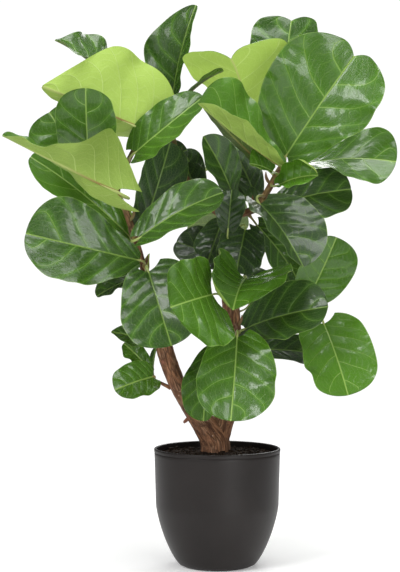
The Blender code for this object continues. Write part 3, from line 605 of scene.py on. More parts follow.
class Shader:
    """Builds one material's nodes. A value may be a socket or, where it is the same all over, a plain
    number, vector or colour."""

    def __init__(self, name):
        self.material = bpy.data.materials.new(name)
        self.material.use_nodes = True
        self.tree = self.material.node_tree

    def put(self, socket, value):
        if isinstance(value, bpy.types.NodeSocket):
            self.tree.links.new(value, socket)
        else:
            socket.default_value = (*value, 1.0) if socket.type == "RGBA" else value

    def node(self, kind, inputs, **settings):
        """A new node's outputs."""
        made = self.tree.nodes.new(kind)
        for key, value in settings.items():
            setattr(made, key, value)
        for key, value in inputs.items():
            self.put(made.inputs[key], value)
        return made.outputs

    def math(self, operation, first, second=0.0, third=0.0, clamp=False):
        inputs = {0: first, 1: second, 2: third}
        return self.node("ShaderNodeMath", inputs, operation=operation, use_clamp=clamp)[0]

    def total(self, *parts, start=0.0, clamp=False):
        """start plus each (value, times) product in turn, limited to 0 to 1 if clamp is set."""
        for value, times in parts:
            start = self.math("MULTIPLY_ADD", value, times, start, clamp)
        return start

    def times(self, first, second):
        return self.math("MULTIPLY", first, second)

    def step(self, value, low, high, first=0.0, last=1.0):
        """Eases from first to last as value goes from low to high."""
        inputs = {"Value": value, "From Min": low, "From Max": high, "To Min": first, "To Max": last}
        return self.node("ShaderNodeMapRange", inputs, interpolation_type="SMOOTHSTEP")[0]

    def line(self, phase, low, high):
        """1 at every half of phase, easing to 0 as it goes from low to high away from one."""
        away = self.math("ABSOLUTE", self.math("SUBTRACT", self.math("FRACT", phase), 0.5))
        return away, self.step(away, low, high, 1.0, 0.0)

    def mix(self, factor, first, second):
        return self.node("ShaderNodeMix", {0: factor, 6: first, 7: second}, data_type="RGBA")[2]

    def cover(self, colour, layer, *masks):
        """The colour with a layer over it, once for each (mask, share)."""
        for mask, share in masks:
            colour = self.mix(self.times(mask, share), colour, layer)
        return colour

    def noise(self, vector, scale, detail=2.0, roughness=0.55):
        inputs = {"Vector": vector, "Scale": scale, "Detail": detail, "Roughness": roughness}
        return self.node("ShaderNodeTexNoise", inputs)[0]

    def cells(self, vector, scale, feature="DISTANCE_TO_EDGE", dimensions="3D"):
        inputs = {"Vector": vector, "Scale": scale}
        return self.node("ShaderNodeTexVoronoi", inputs, feature=feature, voronoi_dimensions=dimensions)[0]

    def map(self, name):
        return self.node("ShaderNodeUVMap", {}, uv_map=name)[0]

    def value(self, name, output="Fac"):
        return self.node("ShaderNodeAttribute", {}, attribute_name=name)[output]

    def place(self):
        return self.node("ShaderNodeTexCoord", {})["Object"]

    def stretch(self, vector, *scale):
        return self.node("ShaderNodeMapping", {"Vector": vector, "Scale": scale})[0]

    def split(self, vector):
        return self.node("ShaderNodeSeparateXYZ", {0: vector})

    def bumps(self, *layers):
        """The normal after each (height, distance) layer, the finest first."""
        inputs = {}
        for height, distance in layers:
            inputs |= {"Height": height, "Distance": distance}
            inputs["Normal"] = self.node("ShaderNodeBump", inputs)[0]
        return inputs["Normal"]

    def finish(self, **inputs):
        surface = self.tree.nodes["Principled BSDF"]
        for key, value in inputs.items():
            self.put(surface.inputs[key.replace("_", " ")], value)
        return self.material


def vein_masks(shader, rib_width):
    """Masks of the midrib, the side veins, the rungs between them and the fine net, and what they are
    made from."""
    phase, across = shader.split(shader.map("veins"))[:2]
    span = shader.map("span")
    arc, run = shader.split(span)[:2]
    out = shader.math("ABSOLUTE", across)
    width = shader.total((out, -0.016), start=0.030)
    off, side = shader.line(phase, shader.times(width, 0.35), shader.times(width, 1.5))
    side = shader.times(side, shader.step(out, 0.90, 1.0, 1.0, 0.25))
    rib = shader.step(shader.math("ABSOLUTE", arc), rib_width * 0.55, rib_width * 1.35, 1.0, 0.0)
    bent = shader.total((out, 7.0), (shader.noise(span, 26.0), 1.3), (off, -1.4))
    rung = shader.line(bent, 0.03, 0.11)[1]
    net = shader.step(shader.cells(span, 170.0, dimensions="2D"), 0.01, 0.075, 1.0, 0.0)
    mesh = shader.step(shader.cells(span, 520.0, dimensions="2D"), 0.01, 0.10, 1.0, 0.0)
    return dict(off=off, out=out, side=side, rib=rib, rung=rung, net=net, mesh=mesh, span=span, run=run)


def leaf_upper_material(settings):
    """Glossy upper skin: deep green between the veins and fresher beside them, pale midrib and side
    veins, a faint net, a pale margin, and a leathery grain. Its tone paints light and shade: a low tone
    darkens the green and dims the veins of a leaf in shade, and a high one brightens a lit leaf."""
    shader = Shader("leaf_upper")
    mask = vein_masks(shader, UPPER_RIB)
    span, rung, net, mesh, side = (mask[name] for name in ("span", "rung", "net", "mesh", "side"))
    tone_and_painted_light = shader.value("tone_and_painted_light")
    # Painted light and shade: the tone makes the green brighter on lit leaves and deeper on shaded ones.
    fresh_and_lit = shader.total((shader.noise(span, 14.0, 3.0), 0.5), clamp=True,
                         start=shader.total((tone_and_painted_light, 0.5), start=0.22))
    colour = shader.mix(fresh_and_lit, settings.upper_deep, settings.upper_fresh)
    colour = shader.mix(shader.step(mask["off"], 0.02, 0.26, 0.55, 0.0), colour, settings.upper_fresh)
    # Painted shade: a low tone darkens a leaf in shade towards the deep green.
    colour = shader.mix(shader.step(tone_and_painted_light, -1.0, -0.25, 0.75, 0.0), colour, settings.upper_deep)
    pale = shader.math("MAXIMUM", shader.times(side, 0.55), mask["rib"])
    # Painted shade: the pale veins are fainter on leaves in shade.
    pale = shader.times(pale, shader.step(tone_and_painted_light, -1.0, 0.2, 0.40, 0.85))
    margin = shader.step(mask["out"], 0.975, 0.992)
    colour = shader.cover(colour, settings.vein, (rung, 0.10), (net, 0.12), (mesh, 0.05), (pale, 1.0),
                          (margin, 0.35))
    rough = shader.total((shader.noise(span, 60.0), 0.16), (pale, 0.12),
                         (shader.step(tone_and_painted_light, -1.0, 0.0, 0.16, 0.0), 1.0),
                         start=settings.upper_roughness - 0.08)
    grain = shader.total((mesh, -0.25), start=shader.noise(span, 900.0))
    relief = shader.total((rung, -0.5), (net, -0.6), (side, -1.2), (mask["rib"], -1.4))
    return shader.finish(Base_Color=colour, Roughness=rough, Specular_IOR_Level=0.42, Coat_Weight=0.28,
                         Coat_Roughness=0.07, Normal=shader.bumps((grain, 0.00012), (relief, 0.00045)))


def leaf_under_material(settings):
    """Matte underside: yellow-green, with raised paler veins, a clear net and a browner foot of the
    midrib. Its tone paints light and shade, and a tone above 0.7 also makes it glow: painted light that
    stands in for light shining through the blade from behind."""
    shader = Shader("leaf_under")
    mask = vein_masks(shader, UNDER_RIB)
    span, rung, net, mesh, side = (mask[name] for name in ("span", "rung", "net", "mesh", "side"))
    tone_and_painted_light = shader.value("tone_and_painted_light")
    cloud = shader.noise(span, 18.0, 3.0)
    # Painted light and shade: the tone brightens the underside of lit and backlit leaves and darkens it on
    # shaded ones.
    fresh_and_lit = shader.total((cloud, 0.35), clamp=True, start=shader.total((tone_and_painted_light, 0.75), start=0.10))
    colour = shader.mix(fresh_and_lit, settings.under_deep, settings.under_fresh)
    colour = shader.cover(colour, settings.under_vein, (rung, 0.20), (net, 0.22))
    colour = shader.cover(colour, settings.upper_deep, (mesh, 0.12))
    colour = shader.cover(colour, settings.under_vein, (side, 0.75))
    foot = shader.step(mask["run"], 0.02, 0.14, 1.0, 0.25)
    colour = shader.mix(mask["rib"], colour, shader.mix(foot, settings.under_vein, settings.rib_foot))
    relief = shader.total((rung, 0.5), (net, 0.5), (mesh, 0.3), (side, 1.3))
    normal = shader.bumps((shader.noise(span, 1100.0), 0.00010), (relief, 0.00050))
    # Painted light: above a tone of 0.7 the underside glows, standing in for light shining through the blade
    # from behind.
    return shader.finish(Base_Color=colour, Roughness=shader.total((cloud, 0.15), start=0.50),
                         Normal=normal, Specular_IOR_Level=0.35, Emission_Color=colour,
                         Emission_Strength=shader.step(tone_and_painted_light, 0.7, 1.5, 0.0, 0.55))


def stalk_material(settings):
    """Leaf stalks: green, browner at the stem, with fine lengthwise lines."""
    shader = Shader("leaf_stalk")
    grain = shader.value("grain", "Vector")
    lines = shader.noise(shader.stretch(grain, 900.0, 900.0, 40.0), 1.0)
    foot = shader.math("SUBTRACT", shader.step(shader.split(grain)[2], 0.006, 0.05, 0.9, 0.25), 0.2)
    foot = shader.total((lines, 0.4), start=foot, clamp=True)
    colour = shader.mix(foot, settings.under_vein, settings.rib_foot)
    return shader.finish(Base_Color=colour, Roughness=0.5, Normal=shader.bumps((lines, 0.00025)))


def bark_material(settings):
    """Bark: reddish brown with lengthwise cracks, paler flakes and small scars, turning olive and then
    green on young wood."""
    shader = Shader("bark")
    grain, age = shader.value("grain", "Vector"), shader.value("age")
    streak = shader.noise(shader.stretch(grain, 1.0, 1.0, 0.16), 210.0, 5.0, 0.62)
    patch = shader.noise(shader.stretch(grain, 1.0, 1.0, 0.5), 55.0, 4.0, 0.6)
    crack = shader.step(shader.cells(shader.stretch(grain, 1.0, 1.0, 0.13), 240.0), 0.01, 0.14, 1.0, 0.0)
    crack = shader.times(crack, shader.step(patch, 0.38, 0.60))
    fleck = shader.step(shader.cells(grain, 95.0, "F1"), 0.10, 0.22, 1.0, 0.0)
    fleck = shader.times(fleck, shader.step(shader.noise(grain, 30.0), 0.50, 0.62))
    colour = shader.mix(shader.step(streak, 0.30, 0.72), settings.deep, settings.wood)
    colour = shader.cover(colour, settings.flake, (shader.step(patch, 0.45, 0.75), 0.8))
    young = shader.mix(shader.step(patch, 0.35, 0.7), settings.young, settings.shoot)
    colour = shader.mix(shader.step(age, 0.15, 0.75), young, colour)
    colour = shader.cover(colour, settings.deep, (crack, 0.75))
    colour = shader.cover(colour, settings.scar, (fleck, 0.8))
    height = shader.total((patch, 0.8), (crack, -1.6), (fleck, 0.7), start=streak)
    normal = shader.bumps((shader.noise(grain, 1400.0), 0.0002), (height, 0.0016))
    return shader.finish(Base_Color=colour, Roughness=0.82, Normal=normal, Specular_IOR_Level=0.3)


def bud_material(settings):
    """Papery brown bud scales and stipules, greener at the foot, with fine ribs."""
    shader = Shader("bud_scale")
    ribs = shader.noise(shader.stretch(shader.value("grain", "Vector"), 700.0, 700.0, 30.0), 1.0, 3.0)
    colour = shader.mix(ribs, settings.scale_dark, settings.scale_pale)
    colour = shader.mix(shader.value("tone_and_painted_light"), colour, settings.bud_green)
    return shader.finish(Base_Color=colour, Roughness=0.6, Normal=shader.bumps((ribs, 0.0005)))


def planter_material(settings):
    """Matt charcoal moulded plastic with a very fine grain and faint turning marks."""
    shader = Shader("planter_plastic")
    place = shader.place()
    cloud, speck = shader.noise(place, 9.0, 3.0), shader.noise(place, 1500.0)
    rings = shader.noise(shader.stretch(place, 2.0, 2.0, 260.0), 1.0)
    colour = shader.mix(shader.step(cloud, 0.25, 0.75), settings.colour, settings.colour_worn)
    rough = shader.total((speck, 0.06), (cloud, 0.10), start=settings.roughness - 0.08)
    normal = shader.bumps((rings, 0.00004), (speck, 0.00010))
    return shader.finish(Base_Color=colour, Roughness=rough, Normal=normal, Specular_IOR_Level=0.28)


def soil_material(settings):
    """Moist potting mix: near-black brown crumbs with paler fibres."""
    shader = Shader("potting_mix")
    place = shader.place()
    clod = shader.cells(place, 170.0, "F1")
    fibre = shader.noise(shader.stretch(place, 1.0, 3.5, 1.0), 320.0, 4.0)
    # Each crumb is browner on its raised middle and darker down in the gaps between crumbs.
    colour = shader.mix(shader.step(clod, 0.15, 0.75), settings.soil_brown, settings.soil_dark)
    colour = shader.mix(shader.step(fibre, 0.60, 0.78), colour, settings.fibre)
    normal = shader.bumps((shader.total((clod, -1.0), start=shader.noise(place, 700.0, 3.0)), 0.0020))
    return shader.finish(Base_Color=colour, Roughness=0.95, Normal=normal, Specular_IOR_Level=0.2)


def floor_material(settings):
    """A plain white floor that glows a little, so that it runs out into the white surroundings."""
    shader = Shader("floor")
    tone = shader.mix(shader.noise(shader.place(), 2.0), settings.floor_colour,
                      [0.985 * part for part in settings.floor_colour])
    return shader.finish(Base_Color=tone, Roughness=0.95, Specular_IOR_Level=0.0, Emission_Color=tone,
                         Emission_Strength=settings.floor_glow)


# ---- Stems, buds, soil and planter ----


def build_stem(name, settings, material, seed):
    """A stem: a tube along its path, which for a shoot starts inside its parent. The radius swells at
    the foot, rounds off at the tip, and carries lengthwise folds, whose pattern drifts along the stem,
    low rings at the leaf scars, and small random dents."""
    centres, radii = stem_path(name)
    foot_age, tip_age, swelling = STEM_AGE[name]
    if swelling:
        sunk = centres[0] - unit(centres[1] - centres[0]) * settings.sunk
        centres, radii = np.concatenate([[sunk], centres]), np.concatenate([radii[:1], radii])
    rows = int(run_along(centres)[-1] / 0.0035) + 8
    path, run = evenly(np.column_stack([centres, radii]), rows)
    path, radii = path[:, :3], path[:, 3]
    radii = radii * (1 + swelling * np.exp(-run / 0.010))
    blunt = radii[-1] * 0.35
    radii = radii * np.sqrt(np.clip(1 - ((run - run[-1] + blunt) / blunt).clip(0) ** 2, 0.02, 1))
    sides, gap = (72, 0.030) if radii.max() > 0.012 else (32, 0.016)
    angles, along = circle(sides)[None], run[:, None]
    drift = 0.5 * np.sin(along / 0.05 + seed)
    folds = (np.sin(9 * angles + 2.5 * drift + seed) + 0.7 * np.sin(17 * angles - 3 * drift)
             + 0.5 * np.sin(29 * angles + 5 * drift + along / 0.012)) / 2.2
    dents = ripples(np.cos(angles) + along / 0.03, np.sin(angles) + 0.2, seed + 5, 6)
    scars = np.exp(-(((along / gap + 0.3 * np.sin(angles + seed)) % 1 - 0.5) / 0.07) ** 2)
    depth = radii[:, None] * settings.relief * (0.40 * folds + 0.45 * dents + 0.55 * scars)
    shell = Shell(values=("grain", "age"))
    age = foot_age + (tip_age - foot_age) * (run / run[-1])
    add_tube(shell, path, radii, sides, values={"age": age}, depth=depth)
    piece = shell.make(name.replace("_", "-") + "-bark", [material])
    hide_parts(name)
    return piece


def rooted(foot, tip, sunk):
    """Foot and tip in metres, both moved so that the foot stands on the nearest stem: on the line from
    the stem's axis to the foot, at the given share of the stem's radius."""
    foot, tip = np.array(foot) * MM, np.array(tip) * MM
    axes = [stem_path(name, 12) for name in STEMS]
    centres, radii = (np.concatenate(part) for part in zip(*axes))
    nearest = np.argmin(np.linalg.norm(centres - foot, axis=1) - radii)
    place = centres[nearest] + unit(foot - centres[nearest] + (0, -1e-6, 0)) * radii[nearest] * sunk
    return place, tip + place - foot


def build_growth(leaf_settings, bark):
    """Buds, bud scales and twig stubs, each rooted in its stem. A bud or a scale is a tube whose radius
    is a sine bulge, drawn out to a point and bowed aside, and a scale is pressed flat. A stub is a short
    cone with a cut end."""
    shell = Shell(values=("grain", "tone_and_painted_light"))
    t = np.linspace(0, 1, 15)
    bow = np.sin(np.pi * t)[:, None]
    for index, (foot, tip, width, green) in enumerate(SCALES):
        foot, tip = rooted(foot, tip, 0.8)
        aside = unit(np.cross(tip - foot, (0.2, 1.0, 0.1 * (index % 5)))) * 0.12 * np.linalg.norm(tip - foot)
        path = foot + (tip - foot) * t[:, None] + aside * bow * (-1) ** index
        reach = width / 2 * MM * np.sin(np.pi * (0.12 + 0.86 * t) ** 0.8) ** 0.8
        add_tube(shell, path, reach + 0.0001, 12, values={"tone_and_painted_light": green * (1 - t)}, squash=0.28)
    for foot, tip, width in BUDS:
        foot, tip = rooted(foot, tip, 0.5)
        aside = unit(np.cross(tip - foot, (0.1, 1.0, 0.3))) * 0.07 * np.linalg.norm(tip - foot)
        path = foot + (tip - foot) * t[:, None] + aside * bow
        reach = width / 2 * MM * (1 - t) ** 0.55 * (0.75 + 0.45 * np.sin(np.pi * t**0.7))
        add_tube(shell, path, reach + 0.0001, 20, values={"tone_and_painted_light": 0.35 + 0.6 * t})
    piece = shell.make("buds-and-scales", [bud_material(leaf_settings)])
    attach(piece, "root")

    shell = Shell(values=("grain", "age"))
    for foot, tip, first, second in STUBS:
        foot, tip = rooted(foot, tip, 0.5)
        path = foot + (tip - foot) * np.linspace(0, 1, 8)[:, None]
        reach = np.linspace(first, second, 8) * MM
        reach[-1] *= 0.7
        depth = 0.0004 * np.sin(5 * circle(20) + first)
        add_tube(shell, path, reach, 20, values={"age": 1.0}, depth=depth)
    piece = shell.make("twig-stubs", [bark], sharp=35)
    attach(piece, "root")


def add_rings(shell, rings, low, high):
    """Adds a closed surface of rings about Z, with its first and last row closed on the axis at the
    heights low and high."""
    points = np.concatenate([rings.reshape(-1, 3), [[0, 0, low], [0, 0, high]]])
    rows, sides = rings.shape[:2]
    shell.add(points, grid_faces(rows, sides, wrap=True), 0, ends=end_faces(rows, sides))


def pot_radius(z, settings):
    """The planter's outer radius: a rounded belly low down, and a slight flare above it."""
    rise = np.clip(z / settings.belly_height, 0, 1)
    belly = (1 - (1 - rise) ** settings.belly_power) ** (1 / settings.belly_power)
    foot = settings.foot_radius
    return foot + (settings.belly_radius - foot) * belly + settings.flare * z / settings.height


def build_planter(settings):
    """The planter, turned in one piece: foot with a rounded edge and a recessed base, belly, a fine
    groove under a rolled lip, and a smooth inner wall and floor."""
    height, wall, foot = settings.height, settings.wall, settings.foot_radius
    base = [(foot * 0.35, 0.0022), (foot - 0.010, 0.0020), (foot - 0.008, 0.0004), (foot - 0.0065, 0.0)]
    turn = np.linspace(0, np.pi / 2, 5)[:-1]
    corner = [(foot - 0.0035 + 0.0035 * np.sin(a), 0.0035 - 0.0035 * np.cos(a)) for a in turn]
    levels = np.concatenate([np.linspace(0.0040, 0.030, 14), np.linspace(0.035, height - 0.0105, 44)])
    side = [(pot_radius(z, settings), z) for z in levels]
    rim = pot_radius(height, settings)
    groove = [(rim - 0.0005, height - 0.0098), (rim - 0.0011, height - 0.0092),
              (rim - 0.0011, height - 0.0084), (rim + 0.0002, height - 0.0076)]
    half = wall / 2 + 0.0004
    lip = [(rim + 0.0006 - half + half * np.cos(a), height - 0.0028 + 0.0028 * np.sin(a))
           for a in np.linspace(0, np.pi, 12)]
    inner = [(pot_radius(z, settings) - wall, z) for z in np.linspace(height - 0.006, 0.020, 40)]
    floor = [(foot - wall, 0.008), (foot * 0.4, 0.0065)]
    radius, level = np.array(base + corner + side + groove + lip + inner + floor)[:, :, None].swapaxes(0, 1)
    angles = circle(192)
    rings = np.stack([radius * np.cos(angles), radius * np.sin(angles), level + 0 * angles], axis=-1)
    shell = Shell()
    add_rings(shell, rings, level[0, 0], level[-1, 0])
    piece = shell.make("planter", [planter_material(settings)], sharp=42)
    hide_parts("pot")
    return piece


def build_soil(settings, pot):
    """Soil: a turned mound that rises to the trunk, and is broken by random swells of three sizes, and a
    piece of loose crumbs, each a small eight-cornered lump with its corners moved at random."""
    steps, sides = 110, 256
    edge = float(pot_radius(settings.level, pot)) - pot.wall - 0.0004
    hub, bottom = 0.004, settings.level - 0.030
    radius = np.linspace(hub, edge, steps)[:, None]
    x, y = radius * np.cos(circle(sides)), radius * np.sin(circle(sides))
    lumps = (ripples(x / 0.030, y / 0.030, 3) * 0.5 + ripples(x / 0.010, y / 0.010, 4) * 0.35
             + np.abs(ripples(x / 0.005, y / 0.005, 5)) * 0.3)
    z = (settings.level + settings.mound * (1 - (radius / edge) ** 1.6)
         + settings.lump * lumps * np.clip((edge - radius) / 0.004, 0.2, 1))
    low = np.stack([x[-1], y[-1], np.full(sides, bottom)], axis=-1)[None]
    shell = Shell()
    add_rings(shell, np.concatenate([np.stack([x, y, z], axis=-1), low]), z[0].mean(), bottom)
    material = soil_material(settings)
    surface = shell.make("soil-surface", [material])
    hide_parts("soil")

    random = np.random.default_rng(11)
    shell = Shell()
    signs = np.array([(a, b, c) for a in (-1, 1) for b in (-1, 1) for c in (-1, 1)], float)
    quads = np.array([(0, 1, 3, 2), (4, 6, 7, 5), (0, 4, 5, 1), (2, 3, 7, 6), (0, 2, 6, 4), (1, 5, 7, 3)])
    for _ in range(settings.crumbs):
        reach, turn = edge * 0.97 * math.sqrt(random.uniform(0.06, 1)), random.uniform(0, 2 * np.pi)
        size = random.uniform(0.0007, 0.0026) * (1 + 1.2 * (random.random() < 0.08))
        row = min(int((reach - hub) / (edge - hub) * (steps - 1)), steps - 1)
        level = z[row, int(turn / (2 * np.pi) * sides) % sides]
        lump = signs * random.uniform(0.55, 1.0, (8, 3)) * size * random.uniform(0.5, 1.2, 3)
        spin = random.uniform(0, np.pi)
        c, s = math.cos(spin), math.sin(spin)
        lump = lump @ np.array([(c, s, 0), (-s, c, 0), (0, 0, 1)])
        centre = np.array([reach * math.cos(turn), reach * math.sin(turn), level + size * 0.2])
        shell.add(lump + centre, quads, 0)
    piece = shell.make("soil-crumbs", [material], sharp=25)
    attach(piece, "root")
    return surface


# ---- Settings ----


def colour(name, description, default):
    return bpy.props.FloatVectorProperty(name=name, description=description, default=default, size=3,
                                         min=0.0, max=1.0, subtype="COLOR")


def number(name, description, default, low=0.0, **more):
    return bpy.props.FloatProperty(name=name, description=description, default=default, min=low, **more)


def length(name, description, default):
    return number(name, description, default, precision=4, unit="LENGTH", subtype="DISTANCE")


def share(name, description, default, high=1.0):
    return number(name, description, default, max=high, subtype="FACTOR")


def power(name, description, default):
    return number(name, description, default, unit="POWER")


def count(name, description, default, low=0):
    return bpy.props.IntProperty(name=name, description=description, default=default, min=low)


class FigLeafSettings(bpy.types.PropertyGroup):
    """Sizes and colours of the leaves."""

    rows: count("Rows", "Grid rows from base to tip", 72, 24)
    columns: count("Columns", "Grid columns from edge to edge", 45, 15)
    thickness: length("Thickness", "Thickness of the blade between its veins", 0.0009)
    pucker: length("Pucker", "How far the blade puffs up between side veins", 0.0011)
    groove: length("Groove", "How deep the veins sink in", 0.0005)
    frill: length("Frill", "How far the margin wanders up and down", 0.0038)
    stalk_radius: length("Stalk radius", "Radius of the leaf stalks", 0.0026)
    # Upper deep and under deep are also painted shade on leaves in shade, and upper fresh and under fresh
    # are also painted light on lit and backlit leaves.
    upper_deep: colour("Upper deep", "Upper side between veins and on shaded leaves", (0.009, 0.036, 0.005))
    upper_fresh: colour("Upper fresh", "Upper side beside veins and on bright leaves", (0.070, 0.200, 0.007))
    vein: colour("Vein", "Veins and margin of the upper side", (0.270, 0.430, 0.080))
    upper_roughness: share("Upper roughness", "Roughness of the upper side", 0.22)
    under_deep: colour("Under deep", "Underside of dark leaves", (0.075, 0.130, 0.030))
    under_fresh: colour("Under fresh", "Underside of bright leaves", (0.300, 0.440, 0.070))
    under_vein: colour("Under vein", "Veins of the underside", (0.400, 0.530, 0.150))
    rib_foot: colour("Rib foot", "Foot of the midrib and of the stalk", (0.210, 0.110, 0.030))
    scale_dark: colour("Scale dark", "Dark ribs of the bud scales", (0.045, 0.018, 0.008))
    scale_pale: colour("Scale pale", "Pale ribs of the bud scales", (0.210, 0.100, 0.045))
    bud_green: colour("Bud green", "Green of the buds", (0.300, 0.400, 0.060))


class FigBarkSettings(bpy.types.PropertyGroup):
    """Relief and colours of the bark."""

    relief: share("Relief", "Height of the folds as a share of the radius", 0.032, 0.3)
    sunk: length("Sunk", "How far a shoot starts inside its parent", 0.014)
    deep: colour("Deep", "Cracks in old wood", (0.060, 0.024, 0.013))
    wood: colour("Wood", "Old wood", (0.370, 0.175, 0.090))
    flake: colour("Flake", "Paler flakes", (0.520, 0.300, 0.180))
    scar: colour("Scar", "Pale scars and pores", (0.560, 0.380, 0.270))
    young: colour("Young", "Young wood", (0.070, 0.042, 0.016))
    shoot: colour("Shoot", "Green of the newest wood", (0.170, 0.200, 0.040))


class FigPlanterSettings(bpy.types.PropertyGroup):
    """Sizes and finish of the planter."""

    height: length("Height", "Height of the planter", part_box("pot")[1][2])
    foot_radius: length("Foot radius", "Radius of the foot", 0.0775)
    belly_radius: length("Belly radius", "Radius above the belly", 0.128)
    belly_height: length("Belly height", "Height where the belly ends", 0.130)
    belly_power: number("Belly power", "How square the belly is", 1.4, 1.0)
    flare: length("Flare", "How far the wall leans out", 0.007)
    wall: length("Wall", "Thickness of the wall", 0.005)
    colour: colour("Colour", "Colour of the plastic", (0.0100, 0.0076, 0.0068))
    colour_worn: colour("Worn colour", "Slightly greyer patches", (0.0145, 0.0112, 0.0102))
    roughness: share("Roughness", "Roughness of the plastic", 0.42)


class FigSoilSettings(bpy.types.PropertyGroup):
    """Level, relief and colours of the soil."""

    level: length("Level", "Height of the soil at the wall", 0.2360)
    mound: length("Mound", "How far the soil rises to the trunk", 0.0070)
    lump: length("Lump", "Height of the lumps", 0.0022)
    crumbs: count("Crumbs", "How many loose crumbs lie on the soil", 900)
    soil_brown: colour("Brown", "Drier soil", (0.034, 0.018, 0.009))
    soil_dark: colour("Dark", "Moist soil", (0.010, 0.006, 0.004))
    fibre: colour("Fibre", "Fibres in the soil", (0.075, 0.042, 0.020))


class FigStageSettings(bpy.types.PropertyGroup):
    """The studio."""

    floor_side: length("Floor side", "Side of the square floor", 4.4)
    floor_colour: colour("Floor colour", "Colour of the floor", (0.93, 0.93, 0.93))
    floor_glow: number("Floor glow", "How much the floor glows", 0.26)
    key_power: power("Key power", "Power of the left front light", 60.0)
    fill_power: power("Fill power", "Power of the right light", 28.0)
    top_power: power("Top power", "Power of the overhead light", 62.0)
    back_power: power("Back power", "Power of the back light", 40.0)
    ambient: number("Ambient", "Strength of the white surroundings", 0.20)
    lens: number("Lens", "Focal length of the camera, in millimetres", 85.0, 1.0)


SETTINGS = {
    "fig_leaf": FigLeafSettings,
    "fig_bark": FigBarkSettings,
    "fig_planter": FigPlanterSettings,
    "fig_soil": FigSoilSettings,
    "fig_stage": FigStageSettings,
}


# ---- Operators ----


class FIG_OT_leaves(bpy.types.Operator):
    """Make every leaf, with its stalk"""

    bl_idname = "fig.leaves"
    bl_label = "Leaves"

    def execute(self, context):
        settings = context.scene.fig_leaf
        finishes = [leaf_upper_material(settings), leaf_under_material(settings), stalk_material(settings)]
        for seed, (name, stem, base, tip, width, facing, tone_and_painted_light, *own_shape) in enumerate(LEAVES):
            shape = PLAIN_LEAF | dict(*own_shape)
            base, tip, width = np.array(base) * MM, np.array(tip) * MM, width * MM
            forward = leaf_frame(base, tip, facing)[1]
            sheets = leaf_sheets(base, tip, width, facing, shape, seed, settings)
            shell = Shell(maps=("veins", "span"), values=("grain", "tone_and_painted_light"))
            add_blade(shell, sheets, tone_and_painted_light)
            add_stalk(shell, stem, base, forward, sheets, tone_and_painted_light, settings)
            piece = shell.make(name.removeprefix("leaf_").replace("_", "-") + "-leaf", finishes, sharp=70)
            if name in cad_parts:
                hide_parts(name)
            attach(piece, "root")
        return {"FINISHED"}


class FIG_OT_stems(bpy.types.Operator):
    """Make the bark of the trunk, shoots and twigs"""

    bl_idname = "fig.stems"
    bl_label = "Stems"

    def execute(self, context):
        material = bark_material(context.scene.fig_bark)
        for seed, name in enumerate(STEMS):
            piece = build_stem(name, context.scene.fig_bark, material, seed)
            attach(piece, "root")
        return {"FINISHED"}


class FIG_OT_growth(bpy.types.Operator):
    """Make the buds, bud scales and twig stubs"""

    bl_idname = "fig.growth"
    bl_label = "Buds and stubs"

    def execute(self, context):
        build_growth(context.scene.fig_leaf, bpy.data.materials["bark"])
        return {"FINISHED"}


class FIG_OT_planter(bpy.types.Operator):
    """Make the planter"""

    bl_idname = "fig.planter"
    bl_label = "Planter"

    def execute(self, context):
        piece = build_planter(context.scene.fig_planter)
        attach(piece, "root")
        return {"FINISHED"}


class FIG_OT_soil(bpy.types.Operator):
    """Make the soil and its crumbs"""

    bl_idname = "fig.soil"
    bl_label = "Soil"

    def execute(self, context):
        piece = build_soil(context.scene.fig_soil, context.scene.fig_planter)
        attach(piece, "root")
        return {"FINISHED"}


class FIG_OT_stage(bpy.types.Operator):
    """Make the floor, lights, surroundings and camera"""

    bl_idname = "fig.stage"
    bl_label = "Studio"

    def execute(self, context):
        settings = context.scene.fig_stage
        half, level = settings.floor_side / 2, -0.0004
        mesh = bpy.data.meshes.new("floor")
        mesh.from_pydata([(-half, -half, level), (half, -half, level), (half, half, level),
                          (-half, half, level)], [], [(0, 1, 2, 3)])
        mesh.materials.append(floor_material(settings))
        floor = place_in_scene("floor", mesh)

        add_softbox("key", (-2.1, -2.3, 2.3), (-0.05, 0.0, 0.75), 1.3, settings.key_power)
        add_softbox("fill", (1.2, -2.7, 0.7), (0.0, 0.0, 0.40), 1.1, settings.fill_power)
        add_softbox("overhead", (0.3, -0.5, 3.0), (0.0, 0.0, 0.60), 1.8, settings.top_power)
        add_softbox("behind", (0.6, 2.4, 2.0), (0.0, 0.0, 0.80), 1.6, settings.back_power)
        context.scene.world = white_surroundings(settings.ambient)
        context.scene.view_settings.view_transform = "Standard"

        lens = bpy.data.cameras.new("camera")
        lens.lens = settings.lens
        lens.sensor_width = 36.0
        lens.clip_end = 100.0
        camera = place_in_scene("camera", lens)
        camera.location = (-0.037, -2.9, 0.597)
        camera.rotation_euler = (math.radians(90), 0, 0)
        context.scene.camera = camera
        return {"FINISHED"}


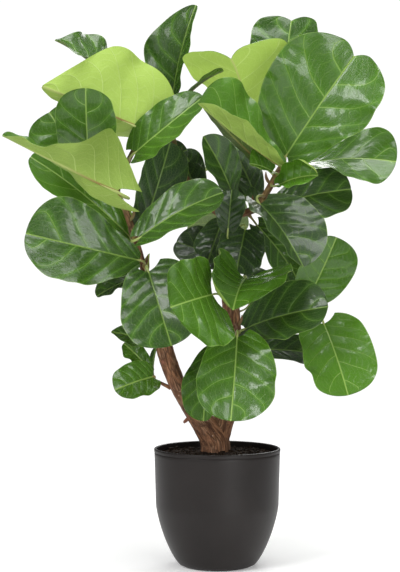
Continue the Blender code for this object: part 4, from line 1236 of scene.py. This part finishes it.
def add_softbox(name, place, target, side, power):
    """A square area light of that side, aimed from place to target."""
    light = bpy.data.lights.new(name, "AREA")
    light.shape, light.size, light.energy = "SQUARE", side, power
    lamp = place_in_scene(name, light)
    lamp.location = place
    way = unit(np.subtract(target, place))
    lamp.rotation_euler = (math.acos(-way[2]), 0, math.atan2(way[1], way[0]) - math.pi / 2)


def white_surroundings(ambient):
    """A world that lights the plant with the ambient strength, and is seen directly as white."""
    world = bpy.data.worlds.new("white_surroundings")
    world.use_nodes = True
    tree = world.node_tree
    blend = tree.nodes.new("ShaderNodeMixShader")
    tree.links.new(tree.nodes.new("ShaderNodeLightPath").outputs["Is Camera Ray"], blend.inputs[0])
    backgrounds = tree.nodes["Background"], tree.nodes.new("ShaderNodeBackground")
    for index, (background, strength) in enumerate(zip(backgrounds, (ambient, 1.05))):
        background.inputs["Color"].default_value = (1, 1, 1, 1)
        background.inputs["Strength"].default_value = strength
        tree.links.new(background.outputs[0], blend.inputs[index + 1])
    tree.links.new(blend.outputs[0], tree.nodes["World Output"].inputs["Surface"])
    return world


OPERATORS = (FIG_OT_leaves, FIG_OT_stems, FIG_OT_growth, FIG_OT_planter, FIG_OT_soil, FIG_OT_stage)


class FIG_PT_panel(bpy.types.Panel):
    """Lists the settings and the operators"""

    bl_idname = "FIG_PT_panel"
    bl_label = "Potted fiddle leaf fig"
    bl_space_type = "VIEW_3D"
    bl_region_type = "UI"
    bl_category = "Fig"

    def draw(self, context):
        for name in SETTINGS:
            group = getattr(context.scene, name)
            box = self.layout.box()
            box.label(text=group.__doc__)
            for field in group.__annotations__:
                box.prop(group, field)
        for operator in OPERATORS:
            self.layout.operator(operator.bl_idname)


CLASSES = (*SETTINGS.values(), *OPERATORS, FIG_PT_panel)


def register():
    for made in CLASSES:
        bpy.utils.register_class(made)
    for name, group in SETTINGS.items():
        setattr(bpy.types.Scene, name, bpy.props.PointerProperty(type=group))


def unregister():
    for name in SETTINGS:
        delattr(bpy.types.Scene, name)
    for made in reversed(CLASSES):
        bpy.utils.unregister_class(made)


def main():
    register()
    bpy.ops.fig.leaves()
    bpy.ops.fig.stems()
    bpy.ops.fig.growth()
    bpy.ops.fig.planter()
    bpy.ops.fig.soil()
    bpy.ops.fig.stage()


if __name__ == "__main__":
    main()
